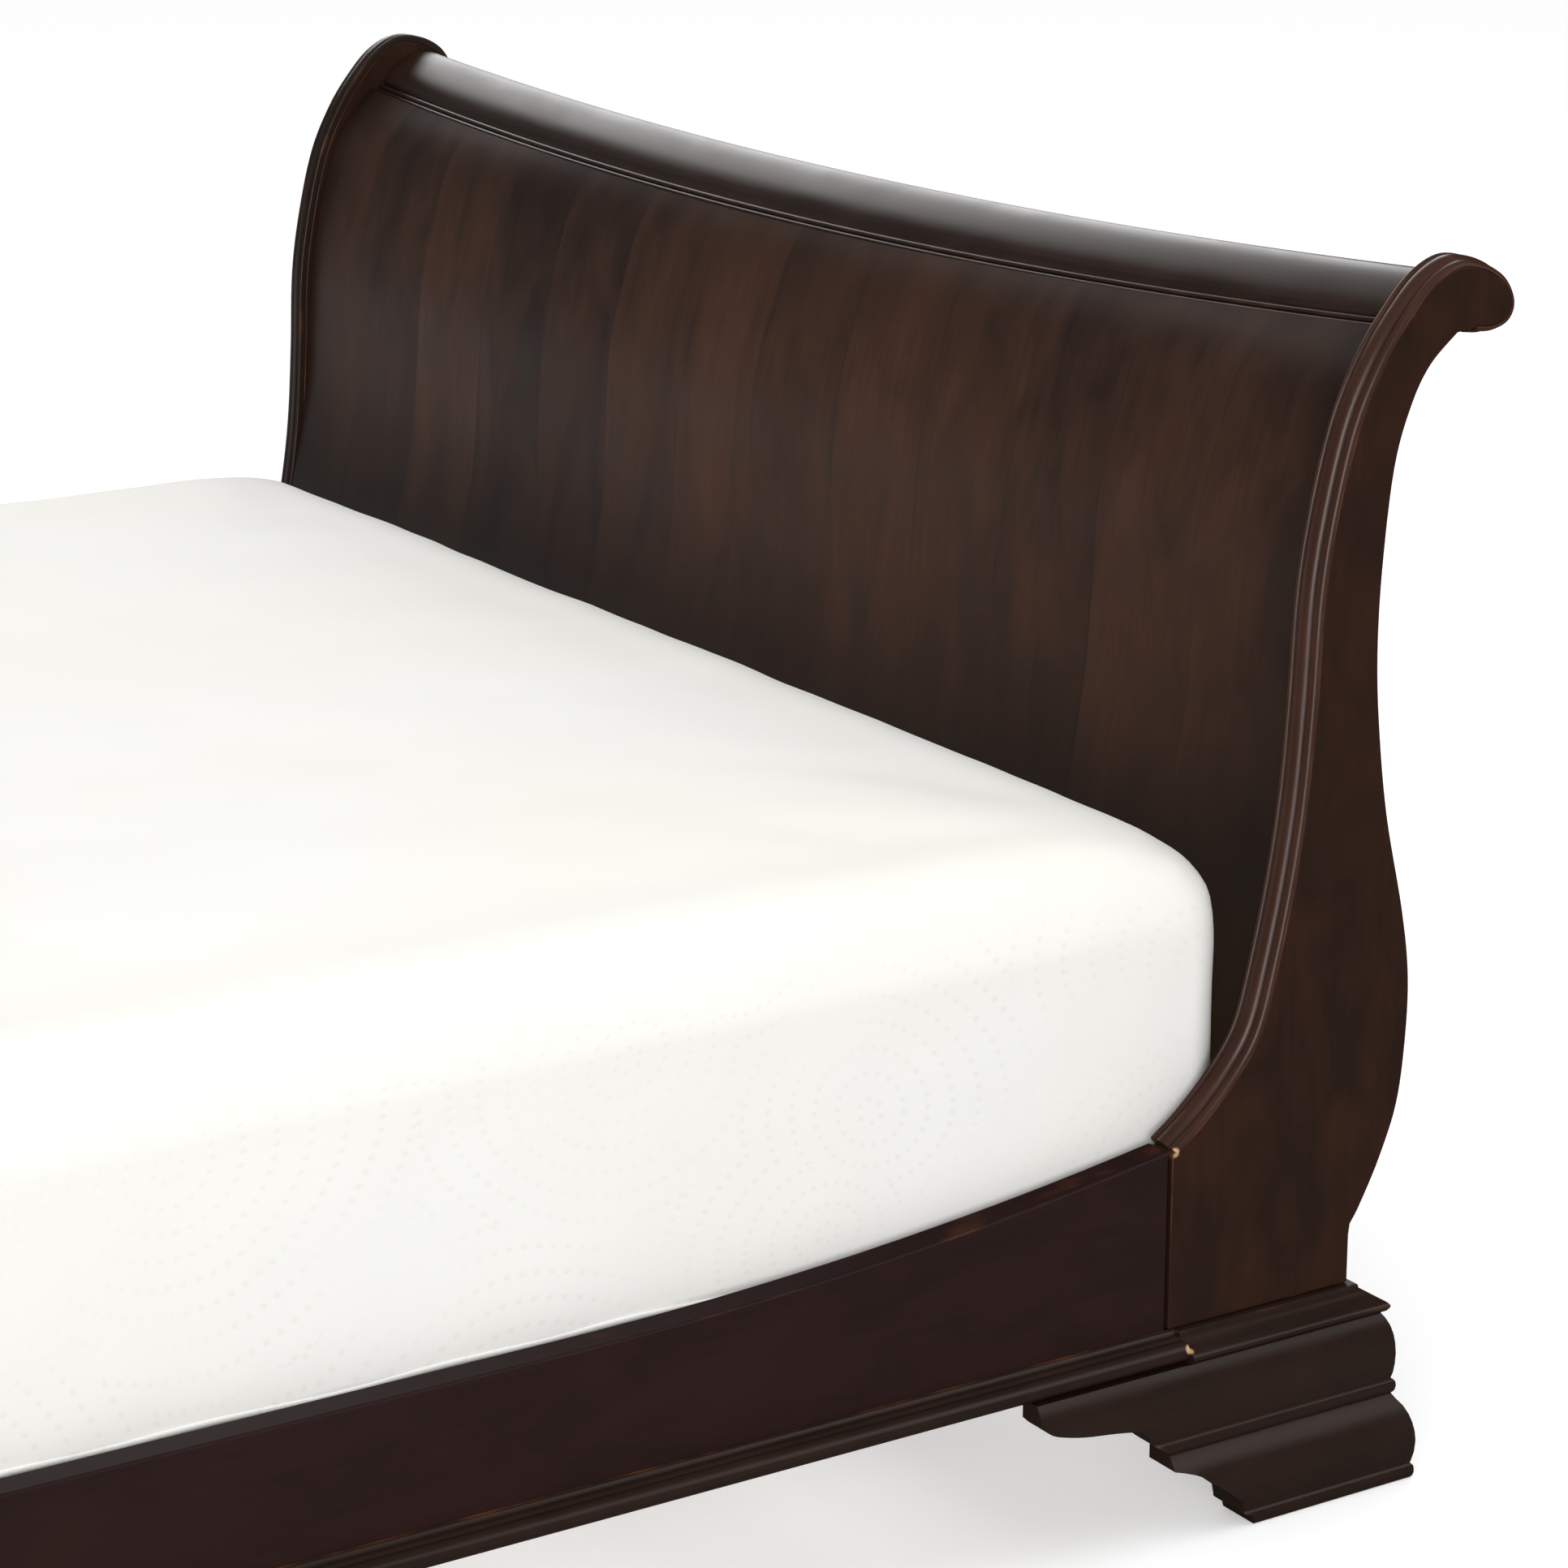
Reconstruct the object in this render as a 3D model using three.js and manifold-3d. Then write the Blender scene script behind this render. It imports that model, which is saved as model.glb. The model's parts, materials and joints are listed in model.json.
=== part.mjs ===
// Sleigh bed: two boards with S-shaped posts, side rails, bracket feet, slats, centre support, mattress.
// Millimetres, +Z up. X is the width, the footboard is at -Y, the headboard at +Y, the floor is Z = 0.
import * as THREE from 'three';
import { mergeVertices } from 'three/addons/utils/BufferGeometryUtils.js';
import Module from 'manifold-3d';

const wasm = await Module();
wasm.setup();

// ---------------------------------------------------------------- driving dimensions
const GAP = 0.3;                  // left between pieces that touch
const INNER_WIDTH = 1520;         // between the inner faces of the posts
const POST_THICKNESS = 27;
const RAIL_LENGTH = 1890;         // from post to post
const POST_DEPTH = 162;           // rail joint to the post's back edge at its neck
const SCROLL_REACH = 283.4;       // rail joint to the outermost point of the footboard's scroll
const HEAD_RISE = 380;            // the headboard stands this much taller
const HEAD_LEAN = 30;             // and reaches this much further back
const CAP_BOTTOM = 127;           // top of the foot brackets, underside of the caps and rails
const CAP_TOP = 148;              // the posts stand here
const STRIP = 6.5;                // thickness of the moulded strip on the posts' front edge
const INNER_SKIN = 9;             // curved panel facing the mattress
const OUTER_SKIN = 6;             // curved panel facing out
const RAIL_THICKNESS = 24;
const RAIL_LOW = 242.5;           // top edge of a side rail along its straight middle
const RAIL_HIGH = 281;            // and where it meets the post
const SWEEP = 480;                // length of the upward sweep at each end of a rail
const LEDGER = { thickness: 22, height: 25, clear: 8 };
const SLAT = { count: 10, width: 90, thickness: 18, endClear: 30, sideClear: 4 };
const SLAT_BOTTOM = 172.3;
const MATTRESS = { width: 1508, overhang: 71, height: 299, corner: 30 };
const BEAM = { width: 40, height: 60 };
const LEG = { width: 44, bottom: 22, spacing: 800 };
const GLIDE = { radius: 20, pad: 7, stem: 5, stemTop: 46, bore: 5.8, boreTop: 64 };

const HALF_INNER = INNER_WIDTH / 2;
const HALF_OUTER = HALF_INNER + POST_THICKNESS;
const LENGTH = RAIL_LENGTH + 2 * SCROLL_REACH + HEAD_LEAN;
const FOOT_JOINT = -LENGTH / 2 + SCROLL_REACH;
const HEAD_JOINT = FOOT_JOINT + RAIL_LENGTH;
const MID_RAIL = (FOOT_JOINT + HEAD_JOINT) / 2;

// ---------------------------------------------------------------- materials
const finish = (color, roughness, metalness = 0) =>
  new THREE.MeshStandardMaterial({ color, roughness, metalness });
const espresso = finish('#2b1b17', 0.32);
const sideStain = finish('#3a2016', 0.38);
const veneer = finish('#33211a', 0.35);
const plainWood = finish('#b98f5e', 0.7);
const blackSteel = finish('#26262a', 0.45, 0.9);
const blackPlastic = finish('#17171a', 0.6);
const knitCover = finish('#f3f2ee', 0.9);

// ---------------------------------------------------------------- geometry tools
// One mesh whose equal corners are shared and which holds positions only.
function weld(geometry) {
  const bare = new THREE.BufferGeometry();
  bare.setAttribute('position', geometry.getAttribute('position').clone());
  if (geometry.index) bare.setIndex(geometry.index.clone());
  return mergeVertices(bare, 1e-4);
}

function flipFaces(geometry) {
  const index = geometry.index.array;
  for (let i = 0; i < index.length; i += 3) [index[i], index[i + 1]] = [index[i + 1], index[i]];
  return geometry;
}

function mirrorX(geometry) {
  return flipFaces(weld(geometry).scale(-1, 1, 1));
}

// Skins a row of matching closed loops (arrays of Vector3) and closes both ends. The ends are cut into
// triangles as seen along the axis that capAxes leaves out.
function loft(loops, capAxes) {
  const [u, v] = capAxes;
  const count = loops[0].length;
  const points = loops.flat();
  const faces = [];
  for (let k = 0; k + 1 < loops.length; k += 1) {
    for (let i = 0; i < count; i += 1) {
      const a = k * count + i;
      const b = k * count + ((i + 1) % count);
      faces.push(a, b, b + count, a, b + count, a + count);
    }
  }
  const flat = loops[0].map((p) => new THREE.Vector2(p[u], p[v]));
  const lid = THREE.ShapeUtils.triangulateShape(flat, []);
  const clockwise = THREE.ShapeUtils.isClockWise(flat);
  const last = (loops.length - 1) * count;
  for (const [a, b, c] of lid) {
    faces.push(...(clockwise ? [a, b, c] : [a, c, b]));
    faces.push(...(clockwise ? [a + last, c + last, b + last] : [a + last, b + last, c + last]));
  }
  const geometry = new THREE.BufferGeometry();
  geometry.setAttribute('position', new THREE.Float32BufferAttribute(points.flatMap((p) => p.toArray()), 3));
  geometry.setIndex(faces);
  if (signedVolume(geometry) < 0) flipFaces(geometry);
  return geometry;
}

function signedVolume(geometry) {
  const p = geometry.getAttribute('position');
  const [a, b, c] = [0, 1, 2].map(() => new THREE.Vector3());
  let sum = 0;
  for (let i = 0; i < geometry.index.count; i += 3) {
    a.fromBufferAttribute(p, geometry.index.getX(i));
    b.fromBufferAttribute(p, geometry.index.getX(i + 1));
    c.fromBufferAttribute(p, geometry.index.getX(i + 2));
    sum += a.dot(b.cross(c));
  }
  return sum;
}

function toManifold(geometry) {
  const welded = weld(geometry);
  const vertProperties = Float32Array.from(welded.getAttribute('position').array);
  const triVerts = Uint32Array.from(welded.index.array);
  return new wasm.Manifold(new wasm.Mesh({ numProp: 3, vertProperties, triVerts }));
}

function fromManifold(solid) {
  const { vertProperties, triVerts } = solid.getMesh();
  const geometry = new THREE.BufferGeometry();
  geometry.setAttribute('position', new THREE.Float32BufferAttribute(vertProperties, 3));
  geometry.setIndex([...triVerts]);
  return geometry;
}

// A block between two corners, each [x, y, z].
function block(low, high) {
  const size = high.map((value, i) => value - low[i]);
  return new THREE.BoxGeometry(...size).translate(...low.map((value, i) => value + size[i] / 2));
}

// An outline of [y, z] points, given a thickness from x = low to x = high.
function plate(outline, low, high) {
  const shape = new THREE.Shape(outline.map(([y, z]) => new THREE.Vector2(y, z)));
  const geometry = new THREE.ExtrudeGeometry(shape, { depth: high - low, bevelEnabled: false });
  geometry.applyMatrix4(new THREE.Matrix4().makeBasis(
    new THREE.Vector3(0, 1, 0), new THREE.Vector3(0, 0, 1), new THREE.Vector3(1, 0, 0)));
  return geometry.translate(low, 0, 0);
}

const spline = (points) => new THREE.SplineCurve(points.map(([s, z]) => new THREE.Vector2(s, z)));

// Points along a curve, moved to its right by `offset`. They lie closest where the outline's points do.
function trace(curve, steps, offset = 0, end = 1) {
  return Array.from({ length: steps + 1 }, (_, i) => {
    const point = curve.getPoint((end * i) / steps);
    const tangent = curve.getTangent((end * i) / steps);
    return [point.x + tangent.y * offset, point.y - tangent.x * offset];
  });
}

function addMesh(parent, name, geometry, material) {
  const mesh = new THREE.Mesh(geometry, material);
  mesh.name = name;
  parent.add(mesh);
  return mesh;
}

// ---------------------------------------------------------------- S-shaped outlines
// [distance out from the rail joint, height]. The front edge runs up from the rail, over the scroll
// and round its nose; the back edge runs down from the notch behind the scroll to the neck.
const FRONT_EDGE = [
  [0, 285], [24, 303], [50, 328.5], [69, 356], [81, 396], [94.4, 457], [104, 520], [109.4, 590],
  [113.5, 664], [123.5, 724], [139, 781.5], [160, 824], [182, 854], [204, 876], [228, 887],
  [252, 884], [271, 874], [281.5, 860], [283.2, 847], [276, 836], [260, 831], [246, 832],
];
const BACK_EDGE = [
  [229, 835.5], [206, 815.5], [190.5, 789], [177.4, 746.6], [170, 675], [168.8, 615], [173, 561],
  [182.8, 496.5], [200.6, 422.7], [208.5, 372], [207.8, 322], [202, 277], [188, 238.5],
  [171.7, 206.3], [163, 193],
];
const INNER_FACE = [
  [95, 212], [91, 290], [91.5, 350], [97, 410], [106, 462], [116, 508], [125, 560], [129.7, 615],
  [133.5, 668], [140.6, 712], [150, 748], [161, 783], [174, 804], [188, 819], [201, 832],
];
const OUTER_FACE = [
  [149, 209], [160, 226], [176, 255], [189, 290], [195, 330], [196, 372], [187.5, 420],
  [170, 495], [160, 561], [156, 615], [158.8, 672], [168.6, 742], [181.6, 783], [194, 803],
];
const STEM_LOW = 353;             // the headboard's extra height goes into the stem between these
const STEM_HIGH = 664;

// The headboard's outlines are the footboard's with a longer stem that leans back.
function stretch(points, rise, lean) {
  return points.map(([s, z]) => {
    const share = THREE.MathUtils.clamp((z - STEM_LOW) / (STEM_HIGH - STEM_LOW), 0, 1);
    return [s + lean * share, z + rise * share];
  });
}

// ---------------------------------------------------------------- board pieces
// Built with the rail joint at y = 0 and the board standing towards +y.
// The dip is a parabola across the width: 0 at the posts, 1 in the middle.
const WIDTH_STEPS = 10;
const EDGE_STEPS = 28;            // along the front edge, shared by the post and its moulding
const BACK_STEPS = 18;
const INNER_STEPS = 14;
const OUTER_STEPS = 12;
const INNER_DIP = 33;             // the panels are this much shorter in the middle, along their curve
const OUTER_DIP = 12;
const NECK_TOP = CAP_TOP + 36;    // the post's back edge is upright up to here
const JOINT_DROP = 3;             // the post's upright front starts this far below its curved edge
const dipAt = (x) => 1 - (x / HALF_INNER) ** 2;
const stations = () => Array.from({ length: WIDTH_STEPS + 1 },
  (_, i) => -HALF_INNER + GAP + (i / WIDTH_STEPS) * (INNER_WIDTH - 2 * GAP));

function postBoard(lines, side) {
  const front = trace(lines.front, EDGE_STEPS, STRIP + GAP).filter(([s]) => s > 0);
  const back = trace(lines.back, BACK_STEPS);
  const outline = [[0, CAP_TOP], [0, front[0][1] - JOINT_DROP], ...front, ...back,
    [POST_DEPTH, NECK_TOP], [POST_DEPTH, CAP_TOP]];
  const geometry = plate(outline, HALF_INNER, HALF_OUTER);
  return side > 0 ? geometry : mirrorX(geometry);
}

// Section of the moulded strip: [across the post from its inner face, out from the board's edge].
const STRIP_SECTION = [
  [0, 0], [0, 6], [4.6, 5], [9, 6.5], [14, 6.5], [18.8, 3.6], [24, 3.8], [27, 2.4], [27, 0],
];

function edgeStrip(lines, side) {
  const loops = [];
  for (let i = 0; i <= EDGE_STEPS; i += 1) {
    const point = lines.front.getPoint(i / EDGE_STEPS);
    const tangent = lines.front.getTangent(i / EDGE_STEPS);
    loops.push(STRIP_SECTION.map(([across, out]) => {
      const offset = STRIP - out;
      return new THREE.Vector3(side * (HALF_INNER + across),
        point.x + tangent.y * offset, point.y - tangent.x * offset);
    }));
  }
  return loft(loops, ['x', 'z']);
}

// A bent panel: its visible face follows `curve`, and its top edge dips with the crest.
function skin(curve, thickness, dipLength, steps) {
  const length = curve.getLength();
  const loops = stations().map((x) => {
    const top = curve.getUtoTmapping(1 - (dipLength * dipAt(x)) / length);
    const face = trace(curve, steps, 0, top);
    const hidden = trace(curve, steps, thickness, top).reverse();
    return [...face, ...hidden].map(([s, z]) => new THREE.Vector3(x, s, z));
  });
  return loft(loops, ['y', 'z']);
}

// Section of the crest at the posts. The seat stands on the inner panel's top edge, and the land for
// the bead runs up from the seat's second corner to its third.
const CREST_SEAT = [[208, 826.6], [201.5, 832.5], [209.6, 840.6]];
const CREST_ROLL = [
  [208.6, 845.2], [213, 851.5], [220, 858], [230, 864.8], [240, 869.6], [250, 871.5], [261, 869.5],
  [270, 863.5], [275.5, 855], [275.5, 846], [270, 839.5], [260, 837], [240, 838.5], [229, 838],
  [219, 831], [212, 823.5],
];
const SEAT_SHIFT = [-22.3, -23.3];  // how far mid-width lies in from the posts and below them
const ROLL_SHIFT = [-18, -21];

function crestRail(top) {
  const loops = stations().map((x) => {
    const dip = dipAt(x);
    const seat = CREST_SEAT.map(([s, z]) => [s + dip * SEAT_SHIFT[0], z + dip * SEAT_SHIFT[1]]);
    const roll = CREST_ROLL.map(([s, z]) => [s + dip * ROLL_SHIFT[0], z + dip * ROLL_SHIFT[1]]);
    return [...seat, ...roll].map(([s, z]) => new THREE.Vector3(x, s + top.lean, z + top.rise));
  });
  return loft(loops, ['y', 'z']);
}

// Section of the double bead: [up along its land, out from it].
const BEAD_SECTION = [
  [0.3, 0.3], [0.3, 2.5], [1.8, 4], [4, 4], [5.6, 2.4], [7.4, 4], [9.6, 4], [10.8, 2.5], [10.8, 0.3],
];

function beadMoulding(top) {
  const [, low, high] = CREST_SEAT.map(([s, z]) => new THREE.Vector2(s, z));
  const along = high.clone().sub(low).normalize();
  const loops = stations().map((x) => BEAD_SECTION.map(([up, out]) => {
    const s = low.x + along.x * up - along.y * out + dipAt(x) * SEAT_SHIFT[0];
    const z = low.y + along.y * up + along.x * out + dipAt(x) * SEAT_SHIFT[1];
    return new THREE.Vector3(x, s + top.lean, z + top.rise);
  }));
  return loft(loops, ['y', 'z']);
}

// Base profile shared by the side rails' mouldings and the end rails: [out from the rail's face, height].
const BASE_PROFILE = [
  [0, CAP_BOTTOM + GAP], [10, CAP_BOTTOM + GAP], [16, 128.5], [20.3, 132], [21, 136], [18.5, 141],
  [13, 143], [7.5, 141.5], [4, 144], [2.5, 147.6], [0, 147.6],
];
const END_RAIL_TOP = 205;
const END_RAIL_THICKNESS = 21;
const END_RAIL_SETBACK = 3;       // behind the posts' back edges
const END_RAIL_FACE = POST_DEPTH - END_RAIL_SETBACK;

function endRail() {
  const face = END_RAIL_FACE;
  const outline = [[face - END_RAIL_THICKNESS, CAP_BOTTOM + GAP],
    ...BASE_PROFILE.map(([out, z]) => [face + out, z]),
    [face, END_RAIL_TOP], [face - END_RAIL_THICKNESS, END_RAIL_TOP]];
  return plate(outline, -HALF_INNER + GAP, HALF_INNER - GAP);
}

// ---------------------------------------------------------------- bracket feet
// Moulded face of a bracket: [proud of the post's face, height], and its scalloped lower edge as
// [distance out from the rail joint, height].
const BRACKET_BACK = 1;
const BRACKET_FACE = [
  [17.8, 126.7], [23, 117.5], [25.8, 104], [26, 88], [24.4, 76.5], [26.5, 74.5], [26.5, 67],
  [24.8, 64.5], [31, 56], [36, 43], [38, 29], [36, 12], [37.7, 9], [37.7, 2], [36, 0],
];
const SCALLOP = [
  [53, 0], [51, 7], [44, 10], [42, 20], [31, 29], [17, 39.5], [6, 47.5], [-5, 52], [-15, 55],
  [-15, 66], [-30, 77], [-36, 86], [-44, 90.5], [-64, 94.5], [-88, 97.8], [-105, 101.5],
  [-118, 106], [-126, 113],
];
const BRACKET_END = -126;
const CUTTER_REACH = 260;         // the kept area's outline stands well clear of the bracket
const CUTTER_TOP = 140;

function sideBracket() {
  const profile = [...BRACKET_FACE, [BRACKET_BACK, 0], [BRACKET_BACK, CAP_BOTTOM - GAP]];
  const inward = profile.map(([e, z]) => new THREE.Vector3(HALF_OUTER + e, BRACKET_END, z));
  const corner = profile.map(([e, z]) => new THREE.Vector3(HALF_OUTER + e, POST_DEPTH + e - GAP, z));
  const moulded = toManifold(loft([inward, corner], ['x', 'z']));
  const [toeStart, tipEnd] = [SCALLOP[0][0], SCALLOP[SCALLOP.length - 1][1]];
  const kept = [...SCALLOP, [BRACKET_END - 1, tipEnd], [BRACKET_END - 1, CUTTER_TOP],
    [CUTTER_REACH, CUTTER_TOP], [CUTTER_REACH, -5], [toeStart, -5]];
  const scalloped = toManifold(plate(kept.reverse(), HALF_INNER, HALF_OUTER + 60));
  return fromManifold(moulded.intersect(scalloped));
}

// The end bracket is the side bracket mirrored in the corner's mitre.
function endBracket() {
  const geometry = weld(sideBracket());
  const p = geometry.getAttribute('position');
  for (let i = 0; i < p.count; i += 1) {
    const out = p.getX(i) - HALF_OUTER;
    const along = p.getY(i) - POST_DEPTH;
    p.setXYZ(i, HALF_OUTER + along, POST_DEPTH + out, p.getZ(i));
  }
  return flipFaces(geometry);
}

// Cap moulding under the post: [proud of the post's face, height].
const CAP_FACE = [
  [17.6, CAP_BOTTOM], [21.5, 130], [22.6, 132.5], [20, 136.3], [15, 139], [9, 143], [5.5, 146],
  [3, CAP_TOP - GAP],
];
const CAP_START = 6;

function capMoulding() {
  const loops = CAP_FACE.map(([e, z]) => [
    [HALF_INNER + GAP, CAP_START], [HALF_OUTER + e, CAP_START], [HALF_OUTER + e, POST_DEPTH + e],
    [HALF_INNER + GAP, POST_DEPTH + e],
  ].map(([x, y]) => new THREE.Vector3(x, y, z)));
  return loft(loops, ['x', 'y']);
}

const CORNER_BLOCK = 52;
const cornerBlock = () => block(
  [HALF_OUTER - CORNER_BLOCK, POST_DEPTH - CORNER_BLOCK, 0],
  [HALF_OUTER + BRACKET_BACK - GAP, POST_DEPTH + BRACKET_BACK - GAP, CAP_BOTTOM - GAP]);

// ---------------------------------------------------------------- the two boards
function board(name, jointY, turned, top) {
  const frame = new THREE.Group();
  frame.position.y = jointY;
  frame.rotation.z = turned ? Math.PI : 0;
  const curve = (points) => spline(stretch(points, top.rise, top.lean));
  const lines = { front: curve(FRONT_EDGE), back: curve(BACK_EDGE) };
  const innerCurve = curve(INNER_FACE);
  const outerCurve = curve(OUTER_FACE);

  for (const side of [-1, 1]) {
    const hand = (turned ? -side : side) < 0 ? 'left' : 'right';
    const handed = (geometry) => (side > 0 ? geometry : mirrorX(geometry));
    addMesh(frame, `${name}_${hand}_post`, postBoard(lines, side), sideStain);
    addMesh(frame, `${name}_${hand}_edge_moulding`, edgeStrip(lines, side), espresso);
    addMesh(frame, `${name}_${hand}_foot_side_bracket`, handed(sideBracket()), espresso);
    addMesh(frame, `${name}_${hand}_foot_end_bracket`, handed(endBracket()), espresso);
    addMesh(frame, `${name}_${hand}_foot_cap`, handed(capMoulding()), espresso);
    addMesh(frame, `${name}_${hand}_foot_corner_block`, handed(cornerBlock()), plainWood);
  }
  addMesh(frame, `${name}_inner_panel`, skin(innerCurve, INNER_SKIN, INNER_DIP, INNER_STEPS), veneer);
  addMesh(frame, `${name}_outer_panel`, skin(outerCurve, -OUTER_SKIN, OUTER_DIP, OUTER_STEPS), veneer);
  addMesh(frame, `${name}_crest_rail`, crestRail(top), espresso);
  addMesh(frame, `${name}_bead_moulding`, beadMoulding(top), espresso);
  addMesh(frame, `${name}_bottom_rail`, endRail(), espresso);
  return frame;
}

// ---------------------------------------------------------------- side rails
// Top edge: level in the middle, sweeping up in an arc to each post.
function railOutline() {
  const rise = RAIL_HIGH - RAIL_LOW;
  const radius = (SWEEP ** 2 + rise ** 2) / (2 * rise);
  const half = RAIL_LENGTH / 2 - GAP;
  const sweep = [];
  for (let i = 0; i <= 8; i += 1) {
    const run = SWEEP * (i / 8);
    sweep.push([half - SWEEP + run, RAIL_LOW + radius - Math.sqrt(radius ** 2 - run ** 2)]);
  }
  const mirrored = sweep.map(([y, z]) => [-y, z]);
  const low = CAP_BOTTOM + GAP;
  return [[half, low], ...sweep.reverse(), ...mirrored, [-half, low]];
}

function sideRails(root) {
  const rails = new THREE.Group();
  rails.position.y = MID_RAIL;
  const half = RAIL_LENGTH / 2;
  for (const side of [-1, 1]) {
    const hand = side < 0 ? 'left' : 'right';
    const handed = (geometry) => (side > 0 ? geometry : mirrorX(geometry));
    const board = plate(railOutline(), HALF_INNER, HALF_INNER + RAIL_THICKNESS);
    const moulding = loft([-1, 1].map((end) => BASE_PROFILE.map(([out, z]) => new THREE.Vector3(
      HALF_INNER + RAIL_THICKNESS + GAP + out, end * (half + CAP_START - GAP), z))),
    ['x', 'z']);
    const ledger = block(
      [HALF_INNER - GAP - LEDGER.thickness, -half + LEDGER.clear, SLAT_BOTTOM - GAP - LEDGER.height],
      [HALF_INNER - GAP, half - LEDGER.clear, SLAT_BOTTOM - GAP]);
    addMesh(rails, `${hand}_side_rail`, handed(board), espresso);
    addMesh(rails, `${hand}_rail_base_moulding`, handed(moulding), espresso);
    addMesh(rails, `${hand}_slat_ledger`, handed(ledger), plainWood);
    for (const end of [-1, 1]) {
      const joint = end < 0 ? 'footboard' : 'headboard';
      addMesh(rails, `${hand}_${joint}_joint_plate`, handed(jointPlate(end * half)), blackSteel);
    }
  }
  root.add(rails);
}

// Steel plate bolted across the joint of rail and post, on their inner faces.
const PLATE = { thickness: 2.5, low: 197, high: 245, onRail: 58, onPost: 40 };
const BOLT = { head: 6, rise: 1.2, fromEnd: 14, fromEdge: 12 };

function jointPlate(y) {
  const outer = HALF_INNER - GAP;
  const inner = outer - PLATE.thickness;
  const away = Math.sign(y);
  const span = [y - away * PLATE.onRail, y + away * PLATE.onPost].sort((a, b) => a - b);
  let plateSolid = toManifold(block([inner, span[0], PLATE.low], [outer, span[1], PLATE.high]));
  for (const along of [span[0] + BOLT.fromEnd, span[1] - BOLT.fromEnd]) {
    for (const z of [PLATE.low + BOLT.fromEdge, PLATE.high - BOLT.fromEdge]) {
      const head = new THREE.CylinderGeometry(BOLT.head, BOLT.head, BOLT.rise + 1, 12);
      head.rotateZ(Math.PI / 2);
      head.translate(inner - (BOLT.rise - 1) / 2, along, z);
      plateSolid = plateSolid.add(toManifold(head));
    }
  }
  return fromManifold(plateSolid);
}

// ---------------------------------------------------------------- mattress base
function mattressBase(root) {
  const base = new THREE.Group();
  base.position.y = MID_RAIL;
  const half = RAIL_LENGTH / 2;
  const reach = HALF_INNER - SLAT.sideClear;
  const pitch = (RAIL_LENGTH - 2 * SLAT.endClear - SLAT.width) / (SLAT.count - 1);
  for (let i = 0; i < SLAT.count; i += 1) {
    const y = (i - (SLAT.count - 1) / 2) * pitch;
    const slat = block([-reach, y - SLAT.width / 2, SLAT_BOTTOM],
      [reach, y + SLAT.width / 2, SLAT_BOTTOM + SLAT.thickness]);
    addMesh(base, `slat_${String(i + 1).padStart(2, '0')}`, slat, plainWood);
  }
  const beamTop = SLAT_BOTTOM - GAP;
  const beamBottom = beamTop - BEAM.height;
  const beamReach = half + END_RAIL_FACE - END_RAIL_THICKNESS - GAP;
  addMesh(base, 'centre_beam', block([-BEAM.width / 2, -beamReach, beamBottom],
    [BEAM.width / 2, beamReach, beamTop]), plainWood);
  for (const end of [-1, 1]) {
    const place = end < 0 ? 'foot_end' : 'head_end';
    const y = (end * LEG.spacing) / 2;
    const w = LEG.width / 2;
    const post = toManifold(block([-w, y - w, LEG.bottom], [w, y + w, beamBottom - GAP]));
    const boreLength = GLIDE.boreTop - LEG.bottom + 1;
    const bore = new THREE.CylinderGeometry(GLIDE.bore, GLIDE.bore, boreLength, 16);
    bore.rotateX(Math.PI / 2);
    bore.translate(0, y, LEG.bottom - 1 + boreLength / 2);
    addMesh(base, `${place}_support_leg`, fromManifold(post.subtract(toManifold(bore))), plainWood);
    const outline = [[0, 0], [GLIDE.radius - 1.5, 0], [GLIDE.radius, 2], [GLIDE.radius, GLIDE.pad - 1],
      [GLIDE.radius - 2, GLIDE.pad], [GLIDE.stem, GLIDE.pad], [GLIDE.stem, GLIDE.stemTop],
      [0, GLIDE.stemTop]];
    const glide = new THREE.LatheGeometry(outline.map(([r, z]) => new THREE.Vector2(r, z)), 16);
    glide.rotateX(Math.PI / 2);
    glide.translate(0, y, 0);
    addMesh(base, `${place}_levelling_glide`, glide, blackPlastic);
  }
  root.add(base);
}

function mattress(root) {
  const { width, overhang, height, corner } = MATTRESS;
  const w = width / 2;
  const l = RAIL_LENGTH / 2 + overhang;
  const outline = new THREE.Shape();
  outline.moveTo(-w + corner, -l);
  outline.lineTo(w - corner, -l);
  outline.absarc(w - corner, -l + corner, corner, -Math.PI / 2, 0);
  outline.lineTo(w, l - corner);
  outline.absarc(w - corner, l - corner, corner, 0, Math.PI / 2);
  outline.lineTo(-w + corner, l);
  outline.absarc(-w + corner, l - corner, corner, Math.PI / 2, Math.PI);
  outline.lineTo(-w, -l + corner);
  outline.absarc(-w + corner, -l + corner, corner, Math.PI, 1.5 * Math.PI);
  const settings = { depth: height, bevelEnabled: false, curveSegments: 8 };
  const geometry = new THREE.ExtrudeGeometry(outline, settings);
  const bottom = SLAT_BOTTOM + SLAT.thickness + GAP;
  const mesh = addMesh(root, 'mattress', geometry, knitCover);
  mesh.position.set(0, MID_RAIL, bottom);
}

// ---------------------------------------------------------------- assembly
const bed = new THREE.Group();
bed.add(board('footboard', FOOT_JOINT, true, { rise: 0, lean: 0 }));
bed.add(board('headboard', HEAD_JOINT, false, { rise: HEAD_RISE, lean: HEAD_LEAN }));
sideRails(bed);
mattressBase(bed);
mattress(bed);

export default bed;
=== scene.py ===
# Sleigh bed: S-shaped posts with moulded edges, curved panels under a rolled crest, swept side rails,
# bracket feet, a slatted base with a centre beam, and a foam mattress in a knitted cover.
import json
import math

import bpy
import numpy as np
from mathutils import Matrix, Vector, noise
from mathutils.geometry import interpolate_bezier

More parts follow.
